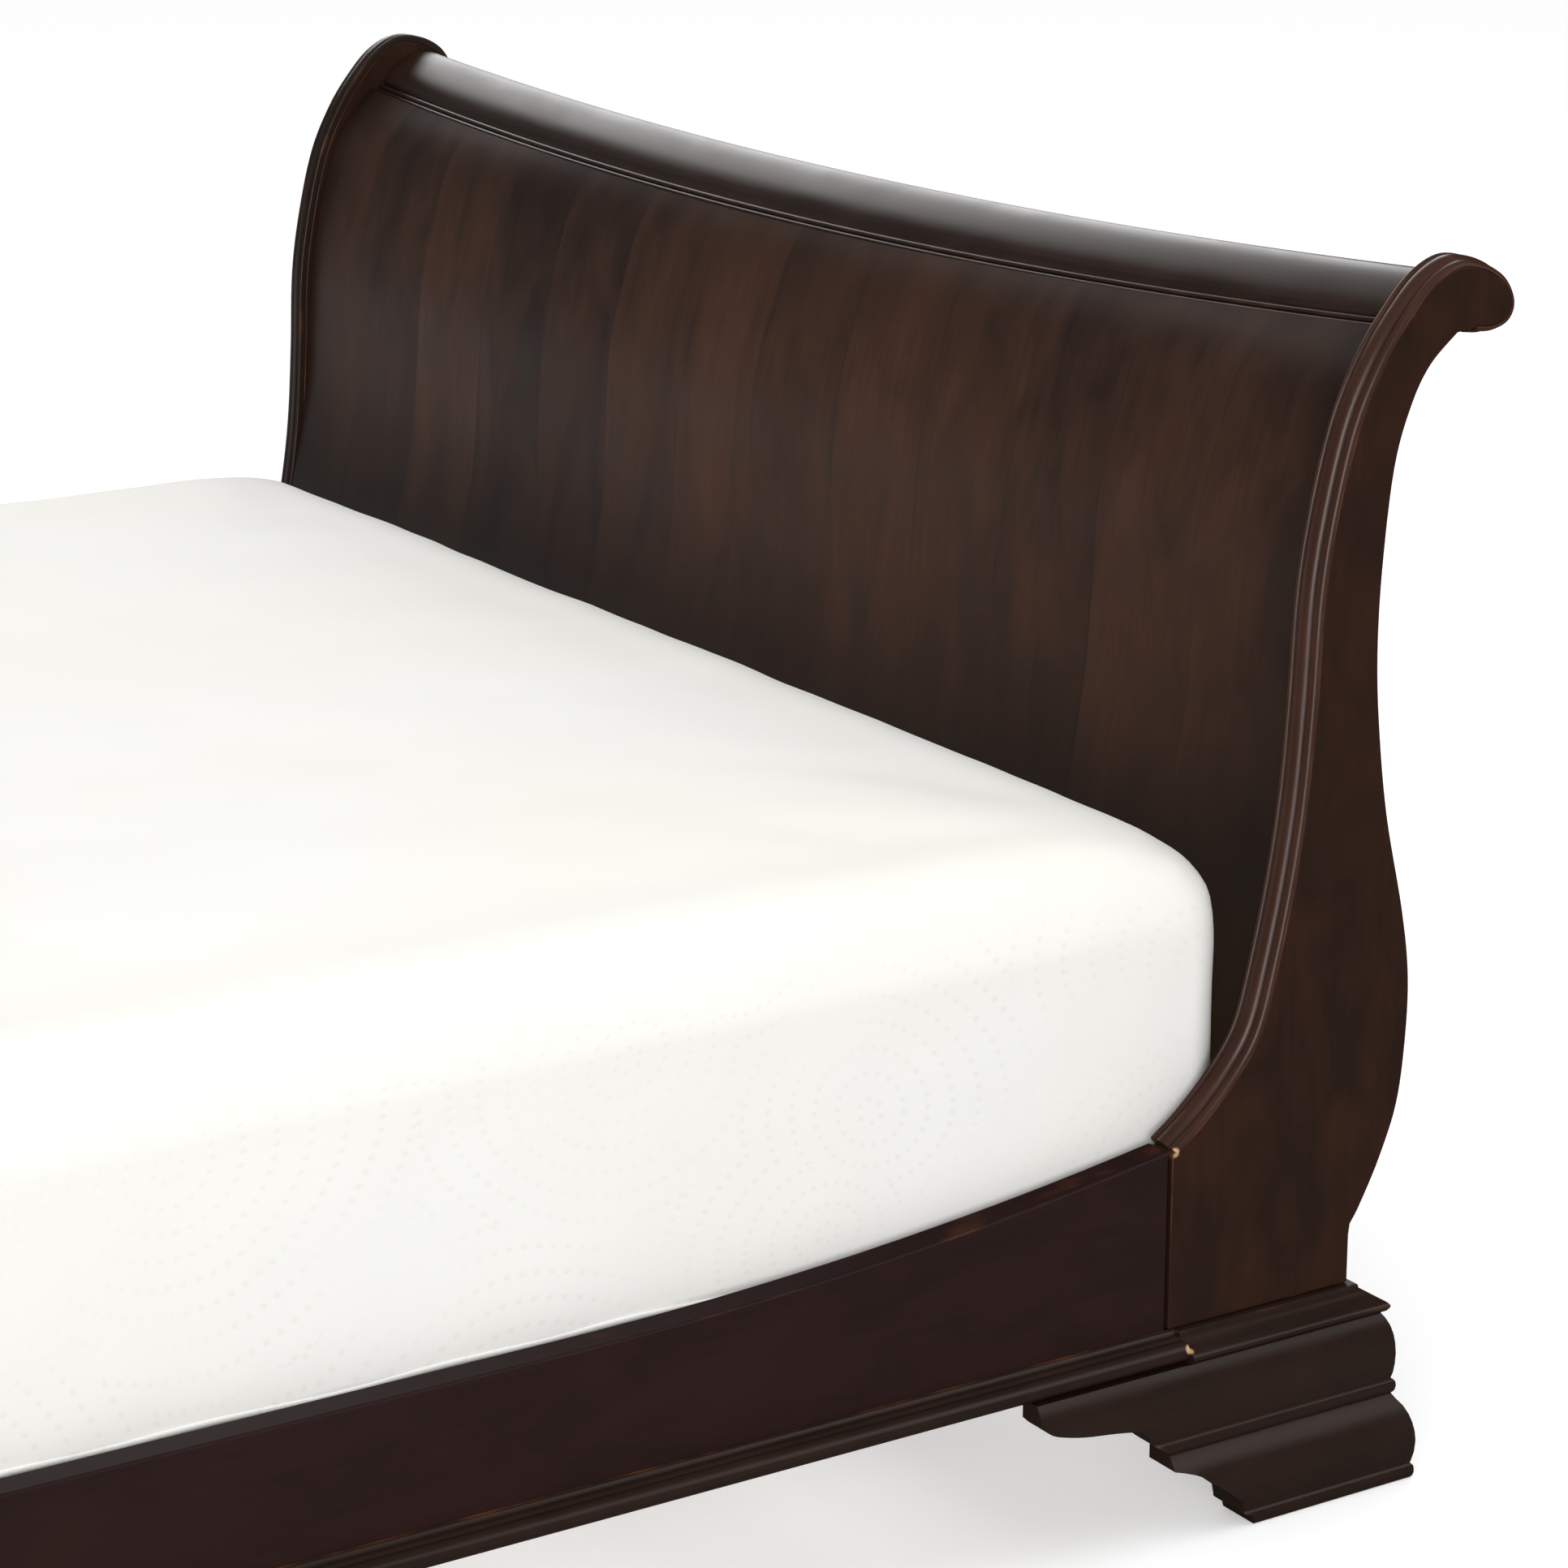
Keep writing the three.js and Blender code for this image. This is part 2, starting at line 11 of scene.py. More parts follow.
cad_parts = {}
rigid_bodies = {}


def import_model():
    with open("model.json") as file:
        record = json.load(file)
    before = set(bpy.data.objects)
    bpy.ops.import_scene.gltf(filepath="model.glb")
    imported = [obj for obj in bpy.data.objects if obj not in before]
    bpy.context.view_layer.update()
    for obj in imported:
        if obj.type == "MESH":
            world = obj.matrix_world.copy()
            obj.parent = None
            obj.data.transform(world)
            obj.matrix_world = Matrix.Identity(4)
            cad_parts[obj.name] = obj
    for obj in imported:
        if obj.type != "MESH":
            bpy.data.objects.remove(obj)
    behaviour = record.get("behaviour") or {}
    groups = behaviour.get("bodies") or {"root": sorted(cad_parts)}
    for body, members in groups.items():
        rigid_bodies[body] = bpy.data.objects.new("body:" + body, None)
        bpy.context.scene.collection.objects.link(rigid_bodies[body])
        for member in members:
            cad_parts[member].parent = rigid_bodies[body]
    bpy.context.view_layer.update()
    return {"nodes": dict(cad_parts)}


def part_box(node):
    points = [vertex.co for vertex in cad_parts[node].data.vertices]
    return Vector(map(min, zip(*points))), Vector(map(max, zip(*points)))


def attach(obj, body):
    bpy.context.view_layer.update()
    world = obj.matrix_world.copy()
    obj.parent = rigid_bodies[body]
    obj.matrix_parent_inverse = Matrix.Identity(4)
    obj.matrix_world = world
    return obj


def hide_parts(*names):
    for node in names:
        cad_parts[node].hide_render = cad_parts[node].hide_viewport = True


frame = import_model()


# ---- Studio -------------------------------------------------------------------------------------
# A white studio with a pale floor. Two softboxes light the surfaces, from overhead and from the
# camera's side. The others show only as gloss, each placed for the faces that it is named after.
CAMERA_PLACE = Vector((-3.081, 0.8275, 1.3898))
CAMERA_LOOKS = Vector((0.8091, -0.5172, -0.279))
CAMERA_LENS = 102.0
SENSOR = 36.0

camera = bpy.data.objects.new("camera", bpy.data.cameras.new("camera"))
bpy.context.scene.collection.objects.link(camera)
camera.location = CAMERA_PLACE
camera.rotation_euler = CAMERA_LOOKS.to_track_quat("-Z", "Y").to_euler()
camera.data.lens = CAMERA_LENS
camera.data.sensor_width = SENSOR
camera.data.clip_end = 100
bpy.context.scene.camera = camera
bpy.context.scene.view_settings.view_transform = "Standard"


def add_node(tree, kind, inputs=None, **settings):
    """Adds one node. An input gets a value, an output, or a node, which stands for its own output."""
    made = tree.nodes.new(kind)
    for setting, value in settings.items():
        setattr(made, setting, value)
    for socket, value in (inputs or {}).items():
        if isinstance(value, bpy.types.Node):
            value = next(output for output in value.outputs if output.enabled)
        if isinstance(value, bpy.types.NodeSocket):
            tree.links.new(value, made.inputs[socket])
        else:
            made.inputs[socket].default_value = value
    return made


def paint(code):
    """An sRGB hex colour as the linear colour that a shader takes."""
    parts = [int(code[i:i + 2], 16) / 255 for i in (1, 3, 5)]
    return [c / 12.92 if c <= 0.04045 else ((c + 0.055) / 1.055) ** 2.4 for c in parts] + [1.0]


def deselect():
    bpy.ops.object.select_all(action="DESELECT")


def softbox(name, place, aim, size, power, lights="both"):
    """A large area light that isn't seen itself. It lights surfaces, shows as gloss on them, or both."""
    deselect()
    bpy.ops.object.light_add(type="AREA", location=place)
    lamp = bpy.context.object
    lamp.name = name
    lamp.rotation_euler = (Vector(aim) - Vector(place)).to_track_quat("-Z", "Y").to_euler()
    lamp.data.shape = "RECTANGLE"
    lamp.data.size, lamp.data.size_y = size
    lamp.data.energy = power
    lamp.visible_camera = False
    lamp.visible_glossy = lights != "surfaces"
    lamp.visible_diffuse = lights != "gloss"


softbox("overhead_softbox", (0.3, -0.6, 4.2), (0, -0.6, 0), (6.0, 6.0), 77, lights="surfaces")
softbox("camera_side_softbox", (-4.6, 1.4, 1.5), (-0.4, -0.4, 0.4), (3.5, 2.6), 104, lights="surfaces")
softbox("overhead_gloss", (0.3, -1.0, 4.2), (0, -1.0, 0), (6.0, 7.0), 60, lights="gloss")
softbox("crest_gloss", (4.3, -2.95, 2.7), (0, -1.2, 0.86), (3.8, 2.6), 90, lights="gloss")
softbox("panel_gloss", (3.6, 1.0, 1.3), (0, -1.1, 0.7), (3.0, 2.6), 3, lights="gloss")
softbox("far_floor_gloss", (4.2, 1.9, 0.01), (4.2, 1.9, 1), (3.6, 3.6), 22, lights="gloss")
softbox("edge_gloss", (-2.2, 1.6, 1.4), (-0.77, -1.1, 0.6), (1.1, 2.6), 55, lights="gloss")
softbox("low_edge_gloss", (-2.1, 0.8, 0.01), (-2.1, 0.8, 1), (0.8, 1.2), 22, lights="gloss")
softbox("foot_gloss", (-3.8, -3.75, 3.1), (-0.8, -1.0, 0.1), (3.0, 3.0), 26, lights="gloss")

studio = bpy.data.worlds.new("white_studio")
bpy.context.scene.world = studio
studio.use_nodes = True
studio.cycles_visibility.glossy = False
sky = studio.node_tree
sky.nodes.clear()
seen = add_node(sky, "ShaderNodeBackground", {"Color": (1, 1, 1, 1), "Strength": 1.05})
fill = add_node(sky, "ShaderNodeBackground", {"Color": (1, 1, 1, 1), "Strength": 0.7})
sight = add_node(sky, "ShaderNodeLightPath")
both = add_node(sky, "ShaderNodeMixShader", {0: sight.outputs["Is Camera Ray"], 1: fill, 2: seen})
add_node(sky, "ShaderNodeOutputWorld", {"Surface": both})


def empty_finish(name):
    """A material whose node tree is still empty, and the tree."""
    made = bpy.data.materials.new(name)
    made.use_nodes = True
    made.node_tree.nodes.clear()
    return made, made.node_tree


# The floor glows a little to the camera, so that it stays white. It is darker in the lacquer's gloss
# and in the light that it sends back up.
FLOOR_SIZE = 60.0
floor_paint, tree = empty_finish("white_studio_floor")
white = add_node(tree, "ShaderNodeBsdfDiffuse", {"Color": paint("#fafafa")})
glow = add_node(tree, "ShaderNodeEmission", {"Color": (1, 1, 1, 1), "Strength": 0.3})
shown = add_node(tree, "ShaderNodeAddShader", {0: white, 1: glow})
bounced = add_node(tree, "ShaderNodeBsdfDiffuse", {"Color": paint("#b4b4b4")})
mirrored_floor = add_node(tree, "ShaderNodeBsdfDiffuse", {"Color": paint("#606060")})
sight = add_node(tree, "ShaderNodeLightPath")
unseen = add_node(tree, "ShaderNodeMixShader", {
    0: sight.outputs["Is Glossy Ray"], 1: bounced, 2: mirrored_floor})
both = add_node(tree, "ShaderNodeMixShader", {0: sight.outputs["Is Camera Ray"], 1: unseen, 2: shown})
add_node(tree, "ShaderNodeOutputMaterial", {"Surface": both})

deselect()
bpy.ops.mesh.primitive_plane_add(size=FLOOR_SIZE, location=(0, 0, 0))
floor = bpy.context.object
floor.name = "studio_floor"
floor.data.materials.append(floor_paint)


# ---- Posts --------------------------------------------------------------------------------------
# Each board stands between two solid S-shaped posts, sawn from wide hardwood with the grain upright.
# They roll outward at the top into a scroll, and stand on the caps of the feet. The footboard and
# the headboard are one design: outlines are drawn for the footboard, as [distance out from the rail
# joint, height] in millimetres, and the headboard's stem is longer and leans back.
MM = 0.001
GAP = 0.3 * MM
HALF_INNER = -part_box("footboard_left_post")[1].x
HALF_OUTER = -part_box("footboard_left_post")[0].x
FOOT_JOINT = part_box("left_side_rail")[0].y - GAP
HEAD_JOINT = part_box("left_side_rail")[1].y + GAP
MID_RAIL = (FOOT_JOINT + HEAD_JOINT) / 2
FOOT_REACH = FOOT_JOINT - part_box("footboard_left_edge_moulding")[0].y
HEAD_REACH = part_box("headboard_left_edge_moulding")[1].y - HEAD_JOINT
HEAD_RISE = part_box("headboard_left_post")[1].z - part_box("footboard_left_post")[1].z
STEM_LOW = 353 * MM
STEM_HIGH = 664 * MM
BOARDS = {
    "footboard": {"joint": FOOT_JOINT, "out": -1, "rise": 0.0, "lean": 0.0},
    "headboard": {"joint": HEAD_JOINT, "out": 1, "rise": HEAD_RISE, "lean": HEAD_REACH - FOOT_REACH},
}
SIDES = {"left": -1, "right": 1}
FRONT_EDGE = [
    (0, 285), (24, 303), (50, 328.5), (69, 356), (81, 396), (94.4, 457), (104, 520), (109.4, 590),
    (113.5, 664), (123.5, 724), (139, 781.5), (160, 824), (182, 854), (204, 876), (228, 887),
    (252, 884), (271, 874), (281.5, 860), (283.2, 847), (276, 836), (260, 831), (246, 832)]
BACK_EDGE = [
    (229, 835.5), (206, 815.5), (190.5, 789), (177.4, 746.6), (170, 675), (168.8, 615), (173, 561),
    (182.8, 496.5), (200.6, 422.7), (208.5, 372), (207.8, 322), (202, 277), (188, 238.5),
    (171.7, 206.3), (163, 193)]
STRIP = 6.5 * MM
POST_DEPTH = 162 * MM
CAP_TOP = 148 * MM
NECK_TOP = CAP_TOP + 36 * MM
JOINT_DROP = 3 * MM
POST_EASING = 1.6 * MM
CURVE_STEPS = 6


def smooth_line(points, steps):
    """A smooth curve through the given points, with this many steps between one and the next."""
    knots = [Vector(p) for p in points]
    line = []
    for i in range(len(knots) - 1):
        before, a, b, after = (knots[k] for k in (max(i - 1, 0), i, i + 1, min(i + 2, len(knots) - 1)))
        handles = (a + (b - before) / 6, b - (after - a) / 6)
        line += interpolate_bezier(a, *handles, b, steps + 1)[:-1]
    return [Vector(p[:2]) for p in line] + [knots[-1]]


def stretched(points, board):
    """An outline in millimetres, in metres for this board."""
    line = []
    for s, z in points:
        share = min(max((z * MM - STEM_LOW) / (STEM_HIGH - STEM_LOW), 0), 1)
        line.append((s * MM + board["lean"] * share, z * MM + board["rise"] * share))
    return line


def beside(line, distance):
    """The same line moved to its right."""
    moved = []
    for i, point in enumerate(line):
        along = (line[min(i + 1, len(line) - 1)] - line[max(i - 1, 0)]).normalized()
        moved.append(point + Vector((along.y, -along.x)) * distance)
    return moved


# Hardwood stained espresso, under satin lacquer that gives it a soft sheen. The stain lies in blotches
# and streaks, and is rubbed through to orange brown along sharp edges, here and there to pale wood.
# Sizes are along the grain and across it. Real pores are under 0.3 mm wide, too fine to show, so they
# are drawn coarser. Two nicks show bare wood at the joint of the left rail and the footboard.
STREAK = (160 * MM, 5 * MM)
BLOTCH = (90 * MM, 45 * MM)
PORE = (8 * MM, 1.1 * MM)
WEAR = (50 * MM, 20 * MM)
RUBBED = "#73401f"
CHIPPED = "#b98a5a"
BARE = "#c9a27a"
NICK_REACH = 4.2 * MM
NICKS = [(-HALF_OUTER, FOOT_JOINT - 2 * MM, 281 * MM),
         (-HALF_INNER - 44.7 * MM, FOOT_JOINT - 6 * MM, 138.8 * MM)]


def along_grain(tree, length, width, shift=0.0):
    """Grain coordinates: one unit is `length` metres along the grain and `width` metres across it."""
    lay = add_node(tree, "ShaderNodeUVMap", uv_map="grain")
    return add_node(tree, "ShaderNodeMapping", {
        "Vector": lay, "Location": (shift, shift, 0), "Scale": (1 / length, 1 / width, 1)})


def stained_wood(name, stain, lit, deep, mottled, streaked, roughness, shine):
    """Espresso stain on close-grained hardwood: `deep` in pores and streaks, `lit` where it took less."""
    made, tree = empty_finish(name)
    streaks = add_node(tree, "ShaderNodeTexNoise", {
        "Vector": along_grain(tree, *STREAK), "Scale": 1.0, "Detail": 6.0, "Roughness": 0.6})
    blotches = add_node(tree, "ShaderNodeTexNoise", {
        "Vector": along_grain(tree, *BLOTCH, 7.0), "Scale": 1.0, "Detail": 4.0, "Distortion": 0.8})
    pores = add_node(tree, "ShaderNodeTexNoise", {
        "Vector": along_grain(tree, *PORE, 3.0), "Scale": 1.0, "Detail": 2.0})
    wear = add_node(tree, "ShaderNodeTexNoise", {
        "Vector": along_grain(tree, *WEAR, 5.0), "Scale": 1.0, "Detail": 5.0})

    blotch = add_node(tree, "ShaderNodeMapRange", {
        "Value": blotches, "From Min": 0.38, "From Max": 0.7, "To Max": mottled})
    taken = add_node(tree, "ShaderNodeMix", {0: blotch, 6: paint(stain), 7: paint(lit)}, data_type="RGBA")
    streak = add_node(tree, "ShaderNodeMapRange", {
        "Value": streaks, "From Min": 0.45, "From Max": 0.75, "To Max": streaked})
    lined = add_node(tree, "ShaderNodeMix", {0: streak, 6: taken, 7: paint(deep)}, data_type="RGBA")
    pore = add_node(tree, "ShaderNodeMapRange", {
        "Value": pores, "From Min": 0.64, "From Max": 0.76, "To Max": 0.45})
    pored = add_node(tree, "ShaderNodeMix", {0: pore, 6: lined, 7: paint(deep)}, data_type="RGBA")

    edge = add_node(tree, "ShaderNodeAttribute", attribute_name="rub").outputs["Fac"]
    thin = add_node(tree, "ShaderNodeMapRange", {"Value": wear, "From Min": 0.42, "From Max": 0.68})
    worn = add_node(tree, "ShaderNodeMath", {0: edge, 1: thin}, operation="MULTIPLY")
    rub = add_node(tree, "ShaderNodeMapRange", {"Value": worn, "From Min": 0.2, "To Max": 0.8})
    rubbed = add_node(tree, "ShaderNodeMix", {0: rub, 6: pored, 7: paint(RUBBED)}, data_type="RGBA")
    gone = add_node(tree, "ShaderNodeMapRange", {"Value": wear, "From Min": 0.68, "From Max": 0.72})
    lost = add_node(tree, "ShaderNodeMath", {0: edge, 1: gone}, operation="MULTIPLY")
    chip = add_node(tree, "ShaderNodeMapRange", {
        "Value": lost, "From Min": 0.6, "From Max": 0.9, "To Max": 0.7})
    shown = add_node(tree, "ShaderNodeMix", {0: chip, 6: rubbed, 7: paint(CHIPPED)}, data_type="RGBA")
    place = add_node(tree, "ShaderNodeTexCoord").outputs["Object"]
    for nick in NICKS:
        away = add_node(tree, "ShaderNodeVectorMath", {0: place, 1: nick}, operation="DISTANCE")
        bare = add_node(tree, "ShaderNodeMapRange", {
            "Value": away, "From Min": NICK_REACH * 0.6, "From Max": NICK_REACH, "To Min": 1, "To Max": 0})
        shown = add_node(tree, "ShaderNodeMix", {0: bare, 6: shown, 7: paint(BARE)}, data_type="RGBA")

    rise = add_node(tree, "ShaderNodeMath", {0: streaks, 1: pores}, operation="SUBTRACT")
    bump = add_node(tree, "ShaderNodeBump", {"Strength": 0.2, "Distance": 0.12 * MM, "Height": rise})
    gloss = add_node(tree, "ShaderNodeMapRange", {
        "Value": blotches, "From Min": 0.3, "From Max": 0.7, "To Min": roughness - 0.03,
        "To Max": roughness + 0.04})
    lacquer = add_node(tree, "ShaderNodeBsdfPrincipled", {
        "Base Color": shown, "Roughness": gloss, "Specular IOR Level": shine, "Normal": bump})
    add_node(tree, "ShaderNodeOutputMaterial", {"Surface": lacquer})
    return made


espresso_posts = stained_wood("brown_espresso_hardwood", "#2b1a12", "#452715", "#1e110d",
                              mottled=0.45, streaked=0.25, roughness=0.34, shine=0.3)


SHARP_ANGLE = math.radians(40)
EASING_STEPS = 3


def map_grain(piece, axis, start=0.0):
    """UV map `grain` in metres, with U along the given axis and V along the other two."""
    mesh = piece.data
    layer = mesh.uv_layers.get("grain") or mesh.uv_layers.new(name="grain")
    layer.active = True
    others = [i for i in range(3) if i != axis]
    for loop, corner in zip(mesh.loops, layer.data):
        place = mesh.vertices[loop.vertex_index].co
        corner.uv = (place[axis] + start, place[others[0]] + place[others[1]] + start)
    for extra in [l for l in mesh.uv_layers if l.name != "grain"]:
        mesh.uv_layers.remove(extra)


def cut_board(name, outline, low, high, easing, axis):
    """A flat board, from x = low to x = high, sawn to an outline of (y, z) and with its edges eased."""
    deselect()
    bpy.ops.mesh.primitive_circle_add(vertices=len(outline), radius=1, fill_type="NGON")
    piece = bpy.context.object
    piece.name = name
    for vertex, (y, z) in zip(piece.data.vertices, outline):
        vertex.co = (low, y, z)
    bpy.ops.object.mode_set(mode="EDIT")
    bpy.ops.mesh.select_all(action="SELECT")
    bpy.ops.mesh.extrude_region_move(TRANSFORM_OT_translate={"value": (high - low, 0, 0)})
    bpy.ops.mesh.select_all(action="SELECT")
    bpy.ops.mesh.normals_make_consistent(inside=False)
    bpy.ops.object.mode_set(mode="OBJECT")
    ease = piece.modifiers.new("ease_edges", "BEVEL")
    ease.width = easing
    ease.segments = EASING_STEPS
    ease.limit_method = "ANGLE"
    ease.angle_limit = SHARP_ANGLE
    ease.use_clamp_overlap = False
    bpy.ops.object.modifier_apply(modifier=ease.name)
    map_grain(piece, axis, start=low)
    return piece


# Edges are rubbed where they bend outward more tightly than SOFT_BEND, and fully at SHARP_BEND. The
# corners of faces larger than FLAT_FACE, in square metres, are left alone.
SOFT_BEND = 6 * MM
SHARP_BEND = 1.2 * MM
FLAT_FACE = 0.0006


def mark_rubbed_edges(piece):
    """Attribute `rub`: 0 where flat or hollow, 1 where it bends outward as tightly as SHARP_BEND."""
    mesh = piece.data
    count = len(mesh.vertices)
    places = np.empty(count * 3)
    mesh.vertices.foreach_get("co", places)
    places = places.reshape(-1, 3)
    facing = np.array([v.normal for v in mesh.vertices]).reshape(-1, 3)
    ends = np.empty(len(mesh.edges) * 2, int)
    mesh.edges.foreach_get("vertices", ends)
    a, b = ends.reshape(-1, 2).T
    step = places[b] - places[a]
    bend = ((facing[b] - facing[a]) * step).sum(1) / np.maximum((step ** 2).sum(1), 1e-10)
    tightest = np.zeros(count)
    np.maximum.at(tightest, a, bend)
    np.maximum.at(tightest, b, bend)
    rub = np.clip((tightest - 1 / SOFT_BEND) / (1 / SHARP_BEND - 1 / SOFT_BEND), 0, 1)
    for face in mesh.polygons:
        if face.area > FLAT_FACE:
            rub[list(face.vertices)] = 0
    layer = mesh.attributes.new("rub", "FLOAT", "POINT")
    layer.data.foreach_set("value", rub.astype(np.float32))


def lay_material(piece, material):
    """Gives the piece this material and no other."""
    piece.data.materials.clear()
    piece.data.materials.append(material)


def finish_piece(piece, material, slot, body, *nodes):
    """Smooths, weights the normals, assigns the finish, and puts the piece in its CAD node's stead."""
    deselect()
    piece.select_set(True)
    bpy.context.view_layer.objects.active = piece
    bpy.ops.object.shade_smooth_by_angle(angle=SHARP_ANGLE)
    weigh = piece.modifiers.new("weigh_normals", "WEIGHTED_NORMAL")
    weigh.keep_sharp = True
    bpy.ops.object.modifier_apply(modifier=weigh.name)
    mark_rubbed_edges(piece)
    lay_material(piece, material)
    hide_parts(*nodes)
    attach(piece, body)


for board_name, board in BOARDS.items():
    front = smooth_line(stretched(FRONT_EDGE, board), CURVE_STEPS)
    back = smooth_line(stretched(BACK_EDGE, board), CURVE_STEPS)
    board["front"] = front
    inner = [p for p in beside(front, STRIP) if p.x > 0]
    outline = [(0, CAP_TOP), (0, inner[0].y - JOINT_DROP), *inner, *back,
               (POST_DEPTH, NECK_TOP), (POST_DEPTH, CAP_TOP)]
    placed = [(board["joint"] + board["out"] * s, z) for s, z in outline]
    for side, sign in SIDES.items():
        low, high = sorted((sign * HALF_INNER, sign * HALF_OUTER))
        post = cut_board(f"{board_name}_{side}_solid_post", placed, low, high, POST_EASING, axis=2)
        finish_piece(post, espresso_posts, "post_faces", "bed_frame", f"{board_name}_{side}_post")


# ---- Edge mouldings -----------------------------------------------------------------------------
# A moulded strip is glued round each post's front edge, over the scroll and under its nose. From the
# mattress side out it has a thin bead, a quirk, a broad torus, a second quirk and a narrow band.
STRIP_SECTION = [
    (0, 0), (0, 4.6), (0.3, 5.6), (1.1, 6.2), (2.1, 6.35), (3.1, 6.1), (3.9, 5.4), (4.3, 4.5), (4.9, 4.4),
    (5.6, 5.1), (7.2, 5.9), (9.2, 6.4), (11.4, 6.5), (13.6, 6.2), (15.6, 5.5), (17.2, 4.5), (18.3, 3.3),
    (18.7, 2.4), (19.2, 2.3), (19.6, 3.0), (20.2, 3.7), (21.4, 3.95), (23.4, 3.9), (25.0, 3.5),
    (26.2, 2.6), (26.85, 1.5), (27, 0.6), (27, 0), (13, 0), (0, 0)]

# The left-hand strips take a lighter, redder copy of the trim finish, the right-hand ones the trim itself:
# painted light and painted shade.
espresso_painted_lighter = stained_wood("reddish_espresso_lit_copy", "#3e261d", "#523123", "#22140f",
                              mottled=0.5, streaked=0.3, roughness=0.33, shine=0.4)
espresso_trim = stained_wood("espresso_lacquered_hardwood", "#281a13", "#392218", "#170f0c",
                             mottled=0.4, streaked=0.35, roughness=0.33, shine=0.5)
lit_and_shaded_strip_finishes = {"left": espresso_painted_lighter, "right": espresso_trim}


def in_place(board, x, s, z):
    """A point of a board: across the bed, out from the rail joint, height."""
    return Vector((x, board["joint"] + board["out"] * s, z))


def laid_surface(name, rows, start=0.0):
    """A grid of faces with each row of points laid in place; coinciding edges are joined and open ends
    closed. UV map `grain` is in metres: U from row to row, along the grain, and V along each row."""
    deselect()
    bpy.ops.mesh.primitive_grid_add(x_subdivisions=len(rows[0]) - 1, y_subdivisions=len(rows) - 1)
    piece = bpy.context.object
    piece.name = name
    mesh = piece.data
    width = len(rows[0])
    mesh.vertices.foreach_set("co", [c for row in rows for point in row for c in point])
    middle = [row[width // 2] for row in rows]
    along = [start]
    for a, b in zip(middle, middle[1:]):
        along.append(along[-1] + (b - a).length)
    across = [start]
    for a, b in zip(rows[len(rows) // 2], rows[len(rows) // 2][1:]):
        across.append(across[-1] + (b - a).length)
    mesh.uv_layers[0].name = "grain"
    for loop, corner in zip(mesh.loops, mesh.uv_layers["grain"].data):
        row, column = divmod(loop.vertex_index, width)
        corner.uv = (along[row], across[column])
    bpy.ops.object.mode_set(mode="EDIT")
    bpy.ops.mesh.select_all(action="SELECT")
    bpy.ops.mesh.remove_doubles(threshold=0.01 * MM)
    bpy.ops.mesh.select_all(action="SELECT")
    bpy.ops.mesh.fill_holes(sides=0)
    bpy.ops.mesh.select_all(action="SELECT")
    bpy.ops.mesh.normals_make_consistent(inside=False)
    bpy.ops.object.mode_set(mode="OBJECT")
    return piece


for board_name, board in BOARDS.items():
    front = board["front"]
    for side, sign in SIDES.items():
        columns = []
        for across, out in STRIP_SECTION:
            line = beside(front, STRIP - out * MM)
            columns.append([in_place(board, sign * (HALF_INNER + across * MM), p.x, p.y) for p in line])
        strip = laid_surface(f"{board_name}_{side}_moulded_edge", list(zip(*columns)), start=sign * 1.7)
        # Painted light and shade: each side's strips get their lighter or darker copy of the finish.
        finish_piece(strip, lit_and_shaded_strip_finishes[side], "espresso_trim", "bed_frame",
                     f"{board_name}_{side}_edge_moulding")


# ---- Panels -------------------------------------------------------------------------------------
# Two bent plywood skins in each board, one towards the mattress and one facing out. Their faces are
# upright leaves of veneer, slip-matched, each taking the stain a little differently.
INNER_FACE = [
    (95, 212), (91, 290), (91.5, 350), (97, 410), (106, 462), (116, 508), (125, 560), (129.7, 615),
    (133.5, 668), (140.6, 712), (150, 748), (161, 783), (174, 804), (188, 819), (201, 832)]
OUTER_FACE = [
    (149, 209), (160, 226), (176, 255), (189, 290), (195, 330), (196, 372), (187.5, 420),
    (170, 495), (160, 561), (156, 615), (158.8, 672), (168.6, 742), (181.6, 783), (194, 803)]
PANELS = {
    "inner": {"face": INNER_FACE, "thickness": 9 * MM, "dip": 33 * MM, "towards": 1},
    "outer": {"face": OUTER_FACE, "thickness": 6 * MM, "dip": 12 * MM, "towards": -1},
}
PANEL_COLUMNS = 64
PANEL_ROWS = 72


# Maple veneer in upright leaves, stained espresso under satin lacquer. No two neighbouring leaves are
# quite the same tone, and the figure breaks off at each seam. Shade is painted darker beside the posts,
# under the crest and low down by the mattress. As on the hardwood, the pores are drawn coarser than they
# are.
LEAF_WIDTH = 118 * MM
LEAF_START = 3
LEAF_WANDER = 20 * MM
LEAF_STREAK = (120 * MM, 5 * MM)
LEAF_MOTTLE = (70 * MM, 50 * MM)
LEAF_PORE = (7 * MM, 1.2 * MM)
# Painted shade on the panels: its reach from the posts and the crest, and where it starts and is full low
# down.
PAINTED_SHADE_REACH = 150 * MM
PAINTED_SHADE_START = 400 * MM
PAINTED_SHADE_FULL = 250 * MM
PAINTED_SHADE_FALLOFF = 1.5
PAINTED_SHADE_AT_EDGE = 0.5
PAINTED_SHADE_LOW_DOWN = 0.75


